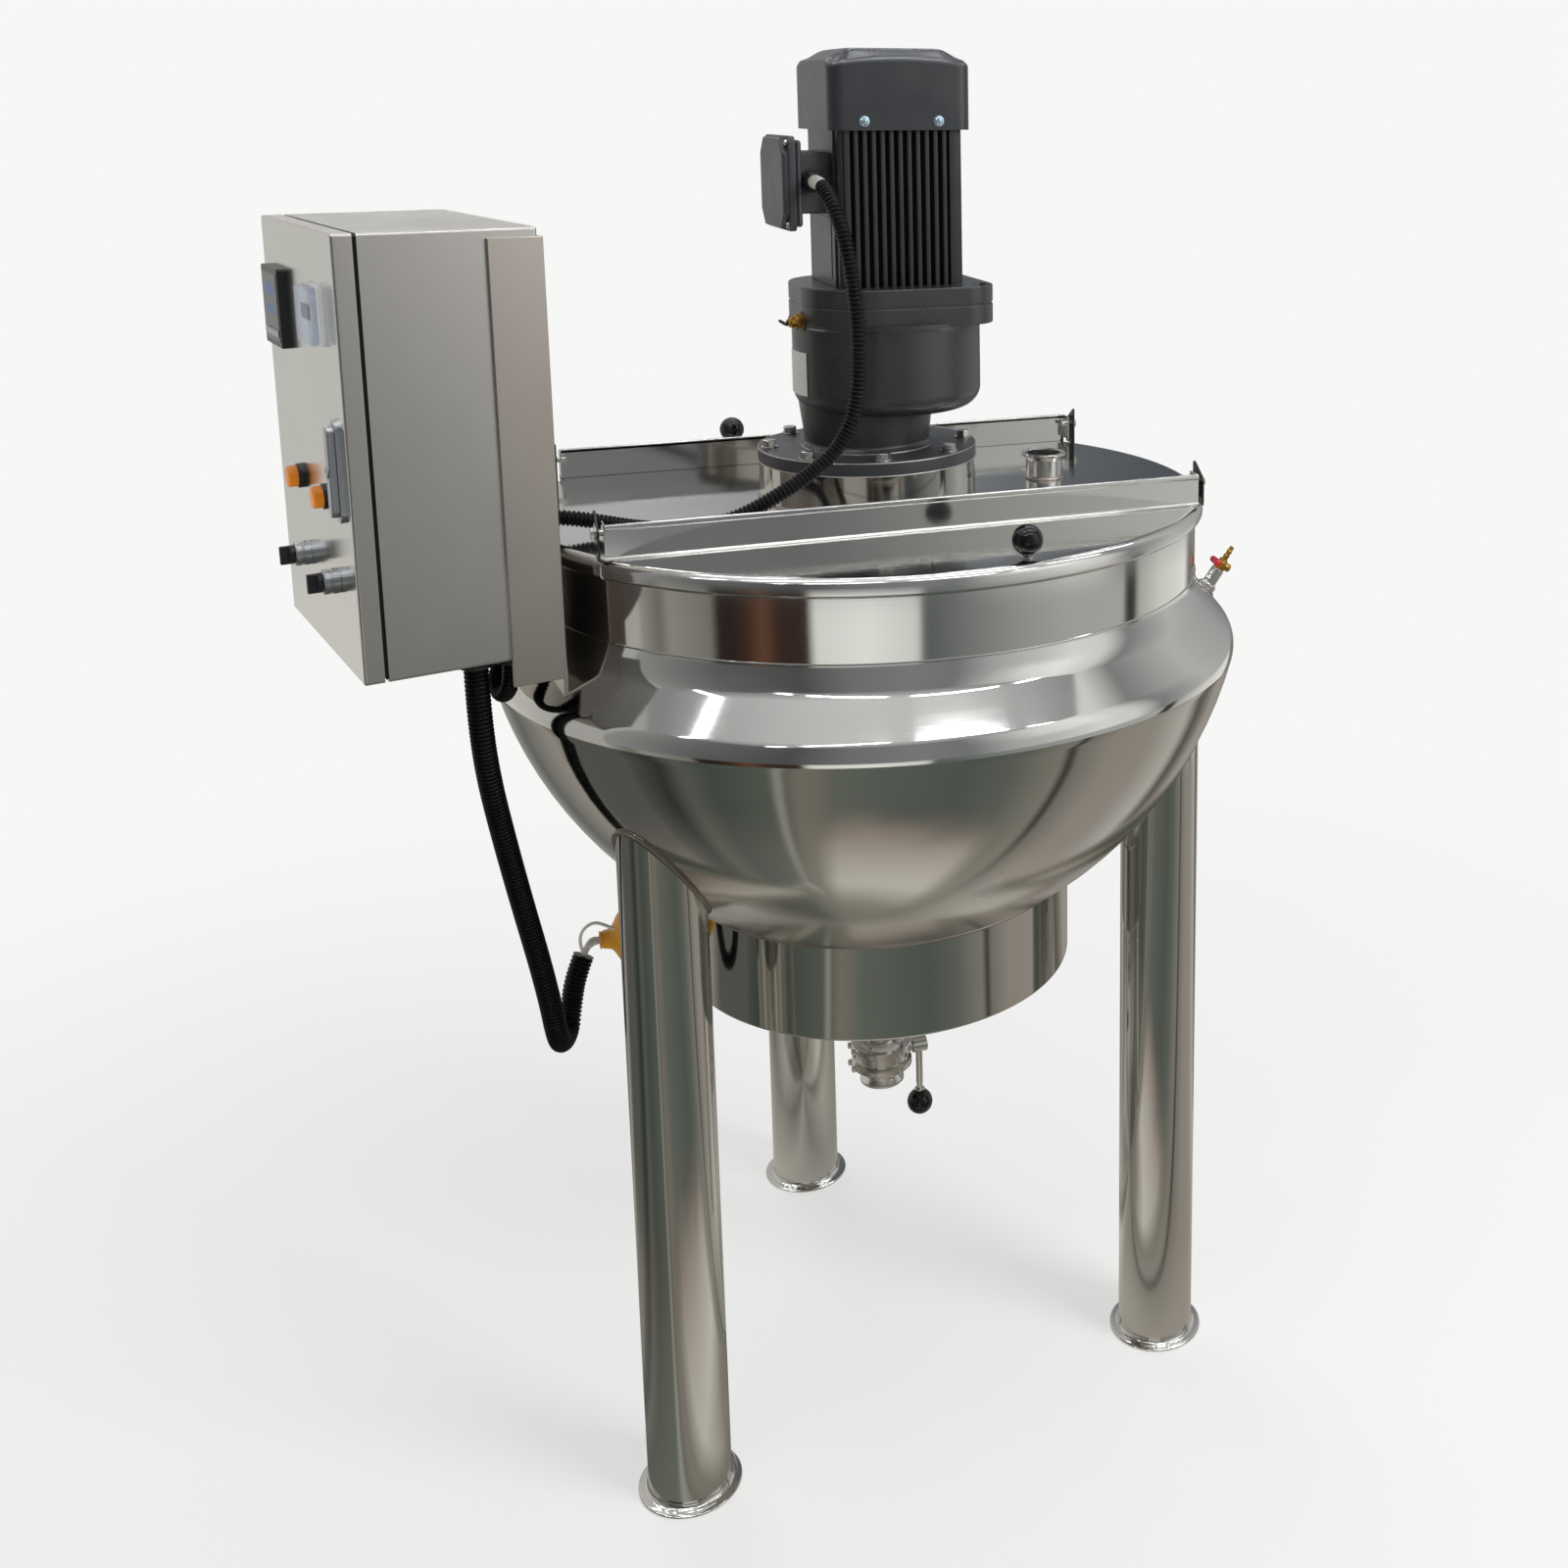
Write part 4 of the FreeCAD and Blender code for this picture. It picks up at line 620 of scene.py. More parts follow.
def makeJacket():
    v = vessel
    slope = math.radians(v["coneAngle"])
    normal = (math.sin(slope), math.cos(slope))
    sc, sr, sheet = v["shoulderCentre"], v["shoulder"], v["sheet"]
    coneEnd = (sc[0] + normal[0] * sr, sc[1] + normal[1] * sr)
    wallMeet = coneEnd[1] + (coneEnd[0] - v["wall"]) * math.tan(slope)
    cove = v["coveRadius"]
    coveR = v["wall"] + cove
    coveZ = wallMeet - cove * math.tan(slope) + cove / math.cos(slope)
    coveTurn = -(90 - v["coneAngle"])
    joinAngle = math.degrees(math.atan2(sc[1] - v["bowlCentre"][1], sc[0] - v["bowlCentre"][0]))
    arc = v["jacketBowl"]
    endR = v["bowlCentre"][0] + math.sqrt(arc ** 2 - (v["bowlCentre"][1] - v["skirtTop"]) ** 2)
    endAngle = onBowl(arc, endR)[1]
    innerArc = arc - sheet
    innerR = v["bowlCentre"][0] + math.sqrt(innerArc ** 2 - (v["bowlCentre"][1] - v["skirtTop"]) ** 2)
    innerAngle = onBowl(innerArc, innerR)[1]
    coneTopIn = wallMeet - sheet / math.cos(slope)
    bm = turned((v["wall"] + 0.0002, coveZ), [
        (coveR, coveZ, coveTurn), coneEnd, (*sc, 90 - v["coneAngle"] - joinAngle),
        (*v["bowlCentre"], joinAngle - endAngle), (innerR, v["skirtTop"]),
        (*v["bowlCentre"], innerAngle - joinAngle), (*sc, joinAngle - (90 - v["coneAngle"])),
        (v["wall"] + 0.0002, coneTopIn), (v["wall"] + 0.0002, coveZ),
    ], kettle["around"], 3)
    jacket = finishPiece("jacketBowl", bm, "bowlSteel", "kettle", kettleAxis)
    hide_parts("jacket_shell")
    # weld bead where the jacket meets the wall, ground flush apart from a faint ridge
    bead = curveMesh("coveBead", ringPoints(v["wall"] + 0.0004, coveZ, 96), 0.0012, True, 8)
    finishPiece("coveWeld", bead, "potSteel", "kettle", kettleAxis)


def makeSkirt():
    v = vessel
    inside = v["skirt"] - v["sheet"]
    low = v["skirtLow"]
    bm = turned((v["skirt"], v["skirtTop"]), [
        (v["skirt"], low + 0.004), (v["skirt"] - 0.004, low + 0.004, 90), (v["outletHole"], low),
        (v["outletHole"], low + v["sheet"]), (inside, low + v["sheet"]), (inside, v["skirtTop"]),
        (v["skirt"], v["skirtTop"]),
    ], kettle["around"], 15)
    skirt = finishPiece("heaterDrum", bm, "potSteel", "kettle", kettleAxis)
    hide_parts("heater_skirt")
    joint = ringPoints(v["skirt"] + 0.0008, v["skirtTop"] + 0.0012, 96)
    bead = curveMesh("drumBead", joint, 0.0028, True, 12)
    finishPiece("drumWeld", bead, "weldSteel", "kettle", kettleAxis)


legs = {"circle": 0.4037, "azimuths": {"front_left": -145.8, "front_right": -25.8, "rear": 94.2},
        "radius": 0.054, "wall": 0.003, "footRadius": 0.067, "footRim": 0.004, "around": 96}


def makeLeg(name, azimuth):
    g = legs
    r, foot = g["radius"], g["footRadius"]
    turn = math.radians(azimuth)
    centre = Vector((g["circle"] * math.cos(turn), g["circle"] * math.sin(turn), 0))
    bm = turned((0, 0), [
        (foot - 0.0015, 0), (foot, 0.0015), (foot, g["footRim"] - 0.001), (foot - 0.001, g["footRim"]),
        (r + 0.007, g["footRim"] + 0.001), (r + 0.007, g["footRim"] + 0.008, 90), (r + 0.0002, 0.016),
        (r, 0.030), (r, 0.45), (r, 0.80), (r - g["wall"], 0.80), (r - g["wall"], 0.005), (0, 0.005), (0, 0),
    ], g["around"], 15)
    # the tube is cut to the bowl it is welded under
    for vert in bm.verts:
        if vert.co.z > 0.79:
            reach = math.hypot(vert.co.x + centre.x, vert.co.y + centre.y)
            vert.co.z = onBowl(vessel["jacketBowl"], reach)[0] + 0.0006
    leg = finishPiece("leg_" + name + "_tube", bm, "legSteel", "kettle",
                      kettleAxis @ Matrix.Translation(centre), 40)
    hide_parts("leg_" + name)
    points = []
    for i in range(72):
        turn = math.tau * i / 72
        x, y = r * math.cos(turn) + centre.x, r * math.sin(turn) + centre.y
        out = Vector((math.cos(turn), math.sin(turn), 0)) * 0.0012
        points.append(Vector((x, y, onBowl(vessel["jacketBowl"], math.hypot(x, y))[0] - 0.0008)) + out)
    bead = curveMesh("legBead", points, 0.0032, True, 12)
    finishPiece("leg_" + name + "_weld", bead, "weldSteel", "kettle", kettleAxis)


makePot()
makeJacket()
makeSkirt()
for legName, legAzimuth in legs["azimuths"].items():
    makeLeg(legName, legAzimuth)
print("vessel and legs made")


lids = {"radius": 0.460, "top": 1.268, "sheet": 0.002, "roll": 0.0115, "curl": 0.0045, "lipLow": 1.244,
        "bridgeHalf": 0.243, "chord": 0.245, "flangeHalf": 0.385, "flangeTop": 1.310, "hingeY": 0.233,
        "hingeZ": 1.298,
        "tabDepth": 0.022, "knobs": {"front": 0.078, "rear": 0.105}, "knobY": 0.422, "ball": 0.0187,
        "ballFlat": 0.006, "ballStud": 0.004, "lift": 0.0003, "bendRound": 0.0055}


def coverSheet():
    g = lids
    out, top, t, roll, curl = g["radius"], g["top"], g["sheet"], g["roll"], g["curl"]
    low = g["lipLow"]
    return turned((out - curl, low), [
        (out - curl, low + curl, -90), (out, top - roll), (out - roll, top - roll, -90), (0, top),
        (0, top - t), (out - roll, top - t), (out - roll, top - roll, 90), (out - t, low + curl),
        (out - curl, low + 0.0016), (out - curl, low),
    ], kettle["around"], 10)


# side is -1 for the front lid and 1 for the rear one
def makeLid(side):
    g = lids
    name = "front" if side < 0 else "rear"
    bm = coverSheet()
    cutAway(bm, (0, side * g["chord"], 0), (0, side, 0), True)
    place = kettleAxis @ Matrix.Translation((0, 0, g["lift"]))
    body = name + "_lid"
    lid = finishPiece(name + "LidPlate", bm, "lidSteel", body, place, 40)
    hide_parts(body)
    half, t = g["flangeHalf"], g["sheet"]
    back = side * g["chord"]
    # upright stiffener on the chord: bent up, folded over at the top, with a short return at each end
    low, high = g["top"] - 0.002, g["flangeTop"]
    y0, y1 = sorted((back, back + side * t))
    bm = block((-half, y0, low), (half, y1, high - 0.002), 0.0006)
    fold = sorted((back, back + side * 0.0052))
    joinInto(bm, block((-half, fold[0], high - 0.0075), (half, fold[1], high), 0.0022, 4))
    for end in (-1, 1):
        x0, x1 = sorted((end * half, end * (half - t)))
        tab = sorted((back, back - side * g["tabDepth"]))
        joinInto(bm, block((x0, tab[0], g["top"] + 0.006), (x1, tab[1], high), 0.0007))
    finishPiece(name + "LidFlange", bm, "lidSteel", body, place)
    # hollow of the bend along the foot of the upright flange
    bend = bmesh.new()
    r, foot, face = g["bendRound"], g["top"] - 0.0003, back + side * (t - 0.0003)
    ring = [bend.verts.new((-half, face, foot))]
    for i in range(9):
        angle = math.radians(90 * i / 8)
        out, up = r * (1 - math.cos(angle)), r * (1 - math.sin(angle))
        ring.append(bend.verts.new((-half, face + side * out, foot + up)))
    pullFaces(bend, [bend.faces.new(ring)], (2 * half, 0, 0))
    finishPiece(name + "LidBend", bend, "lidSteel", body, place, 40)
    makeBallKnob(name + "Knob", (side * -g["knobs"][name], side * g["knobY"], g["top"] + g["lift"]),
                 (0, 0, 1), body, name + "_knob")


def makeBallKnob(name, base, direction, body, node):
    r, flat, low = lids["ball"], lids["ballFlat"], lids["ballStud"]
    seat = math.sqrt(r * r - flat * flat)
    fall = 180 - math.degrees(math.atan2(flat, seat))
    place = kettleAxis @ along(base, direction)
    bm = turned((0, low), [(flat, low), (0, low + seat, -fall)], 64, 5)
    knob = finishPiece(name + "Ball", bm, "ballPhenolic", body, place, 50)
    bm = turned((0, 0), [(0.0068, 0), (0.0075, 0.0007), (0.0075, 0.0022), (0.0068, 0.003), (0.0045, 0.003),
                         (0.0042, low + 0.001), (0, low + 0.001)], 32)
    finishPiece(name + "Stud", bm, "boltSteel", body, place)
    if node:
        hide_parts(node)


makeLid(-1)
makeLid(1)


def makeBridge():
    g = lids
    bm = coverSheet()
    cutAway(bm, (0, -g["bridgeHalf"], 0), (0, 1, 0), True)
    cutAway(bm, (0, g["bridgeHalf"], 0), (0, -1, 0), True)
    bridge = finishPiece("bridgeSheet", bm, "lidSteel", "kettle", kettleAxis, 40)
    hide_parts("bridge_plate")


# hexagon head with chamfered corners on a washer, standing on the XY plane
def hexHead(across, height, washer):
    bm = bmesh.new()
    corner = across / math.sqrt(3)
    bmesh.ops.create_cone(bm, cap_ends=True, segments=6, radius1=corner, radius2=corner, depth=height)
    bmesh.ops.translate(bm, vec=(0, 0, height / 2 + washer["thick"]), verts=bm.verts)
    roundEdges(bm, bm.edges[:], 0.0005, 1)
    ring = turned((0, 0), [(washer["radius"], 0), (washer["radius"], washer["thick"] - 0.0002),
                           (washer["radius"] - 0.0002, washer["thick"]), (0, washer["thick"])], 32)
    return joinInto(bm, ring)


earPlate = {"x": 0.390, "thick": 0.003, "width": 0.030, "height": 0.057, "short": 0.0354, "bolt": 0.004}


def makeEars():
    g = earPlate
    foot = lids["top"]
    for endSide in (-1, 1):
        for lidSide in (-1, 1):
            y = lidSide * lids["hingeY"]
            bm = bmesh.new()
            outer, inner = y + lidSide * g["width"] / 2, y - lidSide * g["width"] / 2
            x = endSide * g["x"]
            corners = [(outer, foot - 0.001), (inner, foot - 0.001), (inner, foot + g["height"]),
                       (outer, foot + g["short"])]
            face = bm.faces.new([bm.verts.new((x, u, w)) for u, w in corners])
            pullFaces(bm, [face], (endSide * g["thick"], 0, 0))
            upright = [e for e in bm.edges if abs(e.verts[0].co.x - e.verts[1].co.x) > 0.001
                       and e.verts[0].co.z > foot]
            roundEdges(bm, upright, 0.005, 5)
            rims = [e for e in bm.edges if abs(e.verts[0].co.x - e.verts[1].co.x) < 1e-6]
            roundEdges(bm, rims, 0.0005)
            tag = ("Right" if endSide > 0 else "Left") + ("Rear" if lidSide > 0 else "Front")
            # the ear's dark colour is a painted reflection of dark surroundings, not the steel's own tone
            finishPiece("ear" + tag, bm, "earPaintedDarkReflection", "kettle", kettleAxis)
            head = hexHead(0.013, 0.0048, {"radius": 0.0085, "thick": 0.0012})
            boltFoot = (x + endSide * g["thick"], y, lids["hingeZ"])
            place = kettleAxis @ along(boltFoot, (endSide, 0, 0))
            bolt = finishPiece("hingeBolt" + tag, head, "boltSteel", "kettle", place)
            shank = turned((0, 0), [(g["bolt"], 0), (g["bolt"], 0.016), (g["bolt"] - 0.0006, 0.0168),
                                    (0, 0.0168)], 24)
            place = kettleAxis @ along(boltFoot, (-endSide, 0, 0))
            finishPiece("hingeShank" + tag, shank, "boltSteel", "kettle", place)
    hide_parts("hinge_bolts")


clampFerrule = {"tube": 0.0254, "wall": 0.0016, "flange": 0.032, "flangeThick": 0.0032, "lidX": 0.258,
                "height": 0.036}


# tube from z = 0 with its clamp flange at the far end and a shallow gasket groove in the face
def ferruleBody(face):
    g = clampFerrule
    r, inside, flange, t = g["tube"], g["tube"] - g["wall"], g["flange"], g["flangeThick"]
    return turned((inside, 0), [
        (r, 0), (r, face - t - 0.006), (flange - 0.0015, face - t), (flange, face - t + 0.0006),
        (flange, face - 0.0006), (flange - 0.0006, face), (0.0295, face), (0.0290, face - 0.0014),
        (0.0270, face - 0.0014), (0.0265, face), (inside + 0.0004, face), (inside, face - 0.0004),
        (inside, 0),
    ], 72)


def makeLidFerrule():
    g = clampFerrule
    place = kettleAxis @ Matrix.Translation((g["lidX"], 0, lids["top"]))
    bm = ferruleBody(g["height"])
    ferrule = finishPiece("lidFerruleTube", bm, "fittingSteel", "kettle", place)
    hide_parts("lid_ferrule")
    bead = curveMesh("ferruleBead", ringPoints(g["tube"] + 0.0012, 0.0012, 48), 0.0024, True, 10)
    finishPiece("lidFerruleWeld", bead, "weldSteel", "kettle", place)


makeBridge()
makeEars()
makeLidFerrule()
print("bridge and lids made")


drive = {"offset": 0.030, "drum": 0.147, "drumWall": 0.004, "drumLow": 1.268, "drumTop": 1.319,
         "flange": 0.148, "flangeTop": 1.337, "boltCircle": 0.133, "bolts": 8, "firstBolt": 39.0,
         "neck": 0.084, "neckTop": 0.092, "case": 0.127, "caseLow": 1.388, "caseTop": 1.507,
         "caseRound": 0.028,
         "seam": 1.534, "adapterTop": 1.558, "left": -0.094, "right": 0.155, "half": 0.120,
         "leftRound": 0.090, "rightRound": 0.045}


# plate with a corner radius for each corner, from the -X -Y one anticlockwise
def roundedPlate(x0, x1, y0, y1, z0, z1, rounds, cornerSteps=12):
    bm = bmesh.new()
    corners = [(x0, y0), (x1, y0), (x1, y1), (x0, y1)]
    verts = [bm.verts.new((x, y, z0)) for x, y in corners]
    bm.faces.new(verts)
    bm.verts.ensure_lookup_table()
    for place, size in zip(corners, rounds):
        if size:
            near = min(bm.verts, key=lambda v: (v.co.x - place[0]) ** 2 + (v.co.y - place[1]) ** 2)
            bmesh.ops.bevel(bm, geom=[near], offset=size, offset_type="OFFSET", segments=cornerSteps,
                            profile=0.5, affect="VERTICES", material=-1)
    pullFaces(bm, bm.faces[:], (0, 0, z1 - z0))
    return bm


# bevels the edges sharper than an angle, or those that choose() picks
def easeEdges(bm, size, angle=30, segments=2, choose=None):
    edges = [e for e in bm.edges if len(e.link_faces) == 2 and e.calc_face_angle(0) > math.radians(angle)
             and (choose is None or choose(e))]
    roundEdges(bm, edges, size, segments, True)
    return bm


def makeDriveBase():
    d = drive
    inside = d["drum"] - d["drumWall"]
    bm = turned((d["drum"], d["drumLow"]), [
        (d["drum"], d["drumTop"] - 0.0008), (d["drum"] - 0.0008, d["drumTop"]), (inside, d["drumTop"]),
        (inside, d["drumLow"]), (d["drum"], d["drumLow"]),
    ], kettle["around"])
    drum = finishPiece("driveDrumWall", bm, "potSteel", "kettle", kettleAxis)
    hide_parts("drive_drum")
    bead = curveMesh("drumFoot", ringPoints(d["drum"] + 0.0008, d["drumLow"] + 0.0008, 96), 0.0020, True,
                     12)
    finishPiece("driveDrumWeld", bead, "weldSteel", "kettle", kettleAxis)
    bm = turned((0.030, d["drumTop"]), [
        (d["flange"] - 0.0014, d["drumTop"]), (d["flange"] - 0.0014, d["drumTop"] + 0.0014, -90),
        (d["flange"], d["flangeTop"] - 0.0022), (d["flange"] - 0.0022, d["flangeTop"] - 0.0022, -90),
        (0.030, d["flangeTop"]), (0.030, d["drumTop"]),
    ], 128, 22)
    flange = finishPiece("driveFlangePlate", bm, "flangePaint", "kettle", kettleAxis)
    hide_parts("drive_flange")
    # the paint has worn off the flange's upper and lower edge and round the neck's foot
    for tag, radius, z in (("Top", d["flange"] - 0.00035, d["flangeTop"] - 0.00045),
                           ("Low", d["flange"] - 0.00015, d["drumTop"] + 0.0003),
                           ("Neck", d["neck"] + 0.0052, d["flangeTop"] + 0.0002)):
        ring = curveMesh("worn" + tag, ringPoints(radius, z, 96), 0.00075, True, 8)
        finishPiece("wornEdge" + tag, ring, "wornSteel", "kettle", kettleAxis)
    bm = bmesh.new()
    for i in range(d["bolts"]):
        angle = math.radians(d["firstBolt"] + 360 / d["bolts"] * i)
        place = (d["boltCircle"] * math.cos(angle), d["boltCircle"] * math.sin(angle), d["flangeTop"])
        head = hexHead(0.0165, 0.0085, {"radius": 0.0115, "thick": 0.0022})
        joinInto(bm, head, Matrix.Translation(place) @ Matrix.Rotation(angle * 3.7, 4, "Z"))
    finishPiece("driveFlangeBolts", bm, "boltSteel", "kettle", kettleAxis)


def makeGearCase():
    d = drive
    shift = Matrix.Translation((d["offset"], 0, 0))
    low, high, fillet = d["caseLow"], d["caseTop"], d["caseRound"]
    # the case bulges very slightly and meets the plate above with a cast fillet
    bm = turned((0, low), [
        (d["case"] - fillet, low), (d["case"] - fillet, low + fillet, -90), (d["case"], high - 0.006),
        (d["case"] + 0.004, high - 0.0018), (d["case"] + 0.004, high + 0.004), (0, high + 0.004),
    ], 144, 6)
    case = finishPiece("gearCaseDrum", bm, "gearPaint", "kettle", kettleAxis @ shift, 40)
    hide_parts("gear_case")
    bm = turned((0, d["flangeTop"]), [
        (d["neck"] + 0.005, d["flangeTop"]), (d["neck"] + 0.005, d["flangeTop"] + 0.002),
        (d["neck"] + 0.001, d["flangeTop"] + 0.0058), (d["neck"] + 0.0006, d["flangeTop"] + 0.009),
        (d["neckTop"], 1.421), (0, 1.421),
    ], 128, 6)
    finishPiece("gearCaseNeck", bm, "gearPaint", "kettle", kettleAxis, 40)
    # on the cabinet side the casting tapers straight down to the neck
    left, neck = d["offset"] - d["case"], d["neck"] + 0.0006
    web = bmesh.new()
    for x, radius, z in ((0, neck, d["flangeTop"] + 0.009),
                         ((left + neck) / 2, (neck - left) / 2 - 0.0008, 1.432)):
        made = bmesh.ops.create_circle(web, segments=96, radius=radius)
        bmesh.ops.translate(web, vec=(x, 0, z), verts=made["verts"])
    bmesh.ops.convex_hull(web, input=web.verts)
    finishPiece("gearCaseTaper", web, "gearPaint", "kettle", kettleAxis, 40)
    rounds = (d["leftRound"], d["rightRound"], d["rightRound"], d["leftRound"])
    ring = roundedPlate(d["left"], d["right"], -d["half"], d["half"], high, d["seam"] - 0.0014, rounds, 20)
    easeEdges(ring, 0.0016, 40, 3)
    finishPiece("gearCaseRim", ring, "gearPaint", "kettle", kettleAxis, 40)
    plate = roundedPlate(d["left"] + 0.0012, d["right"] - 0.0012, -d["half"] + 0.0012, d["half"] - 0.0012,
                         d["seam"] - 0.002, d["seam"] + 0.002, rounds, 20)
    joinInto(plate, easeEdges(roundedPlate(d["left"], d["right"], -d["half"], d["half"], d["seam"],
                                           d["adapterTop"], rounds, 20), 0.0024, 40, 4))
    adapter = finishPiece("adapterPlate", plate, "gearPaint", "kettle", kettleAxis, 40)
    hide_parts("motor_adapter")
    # socket screws sunk in the plate's corners
    bm = bmesh.new()
    for x, y in ((0.137, -0.100), (0.137, 0.100), (-0.040, -0.101), (-0.040, 0.101)):
        ring = turned((0.0038, -0.004), [(0.0062, -0.004), (0.0062, 0.0016), (0.0056, 0.0022),
                                         (0.0038, 0.0022),
                                         (0.0034, 0.0018), (0.0034, -0.004)], 24)
        joinInto(bm, ring, Matrix.Translation((x, y, d["adapterTop"])))
    finishPiece("adapterScrews", bm, "blackPlastic", "kettle", kettleAxis)
    # bare data plate on the case
    bm = turned((d["case"] + 0.0003, 1.412), [(d["case"] + 0.0011, 1.412), (d["case"] + 0.0011, 1.470),
                                              (d["case"] + 0.0003, 1.470), (d["case"] + 0.0003, 1.412)],
                360)
    wedge = math.radians(14)
    for side in (-1, 1):
        cutAway(bm, (0, 0, 0), Vector((math.sin(wedge), side * math.cos(wedge), 0)))
    turn = Matrix.Rotation(math.radians(5), 4, "Z")
    finishPiece("dataPlate", bm, "plateAluminium", "kettle", kettleAxis @ shift @ turn)


def makeBreather():
    d = drive
    azimuth = math.radians(196)
    out = Vector((math.cos(azimuth), math.sin(azimuth), 0))
    start = Vector((d["offset"], 0, 1.512)) + out * 0.1245
    place = kettleAxis @ along(start, out)
    bm = turned((0, 0), [(0.0125, 0), (0.0125, 0.0065), (0.0118, 0.0072), (0, 0.0072)], 40)
    boss = finishPiece("breatherBoss", bm, "gearPaint", "kettle", place)
    brass = hexHead(0.017, 0.0055, {"radius": 0.0108, "thick": 0.0018})
    bmesh.ops.translate(brass, vec=(0, 0, 0.0072), verts=brass.verts)
    joinInto(brass, turned((0, 0.014), [(0.0062, 0.014), (0.0062, 0.0165), (0.0071, 0.0172),
                                        (0.0071, 0.0222),
                                        (0.0064, 0.0229), (0.0042, 0.0229), (0.0042, 0.026), (0, 0.026)],
                           32))
    finishPiece("breatherBody", brass, "turnedBrass", "kettle", place)
    # black tag on a ring that holds the vent pin
    tag = curveMesh("tag", [Vector((0.0052 * math.cos(t), 0.0036 * math.sin(t),
                                    0.0322 + 0.0052 * math.sin(t)))
                            for t in [math.tau * i / 20 for i in range(20)]], 0.0013, True, 10)
    joinInto(tag, turned((0, 0.0245), [(0.0028, 0.0245), (0.0022, 0.0275), (0, 0.0280)], 16))
    finishPiece("breatherTag", tag, "blackNylon", "kettle", place)
    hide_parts("breather_plug")


makeDriveBase()
makeGearCase()
makeBreather()

motor = {"half": 0.086, "fin": 0.015, "low": 1.558, "top": 1.770, "fins": 12, "finRoot": 0.0072,
         "finTip": 0.0058,
         "cowlHalf": 0.0945, "cowlLow": 1.760, "cowlTop": 1.864, "cowlEdge": 1.850, "cowlDip": 0.008,
         "cowlRound": 0.016, "plateau": 0.62, "cowlWall": 0.003}


def makeMotorBody():
    m = motor
    core = m["half"] - m["fin"]
    low, high = m["low"], m["top"]
    bm = block((-core - 0.001, -core, low), (core, core, high))
    # flat -X side with chamfered corner posts
    joinInto(bm, block((-m["half"] + 0.001, -core + 0.004, low), (-core, core - 0.004, high), 0.0010))
    for side in (-1, 1):
        post = roundedPlate(-m["half"] + 0.0035, -core + 0.004, side * core - 0.010, side * core + 0.010,
                            low, high,
                            (0.005, 0.002, 0.002, 0.005), 4)
        joinInto(bm, post)
    pitch = 2 * core / m["fins"]
    for turn in (-90, 0, 90):
        matrix = Matrix.Rotation(math.radians(turn), 4, "Z")
        for i in range(m["fins"] + 1):
            y = -core + pitch * i
            wide = i in (0, m["fins"])
            root, tip = (0.0115, 0.0105) if wide and turn != 0 else (m["finRoot"], m["finTip"])
            reach = m["half"]
            if turn != 0 and ((turn == -90 and i == 0) or (turn == 90 and i == m["fins"])):
                root, tip, reach = 0.009, 0.008, m["half"] - 0.002
            fin = bmesh.new()
            ring = [fin.verts.new((x, y + w, low)) for x, w in
                    ((core - 0.002, -root / 2), (reach, -tip / 2), (reach, tip / 2),
                     (core - 0.002, root / 2))]
            pullFaces(fin, [fin.faces.new(ring)], (0, 0, high - low))
            tips = [e for e in fin.edges if abs(e.verts[0].co.z - e.verts[1].co.z) > 0.1
                    and e.verts[0].co.x > core + 0.005]
            roundEdges(fin, tips, 0.0011)
            joinInto(bm, fin, matrix)
    place = kettleAxis @ Matrix.Translation((drive["offset"], 0, 0))
    body = finishPiece("motorHousing", bm, "motorPaint", "kettle", place)
    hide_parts("motor_body")
    # lighter flat plate on the terminal side, below the box
    plate = block((-m["half"] + 0.0002, -0.050, low + 0.010), (-m["half"] + 0.0014, 0.050, 1.648), 0.0006)
    finishPiece("motorSidePlate", plate, "gearPaint", "kettle", place)


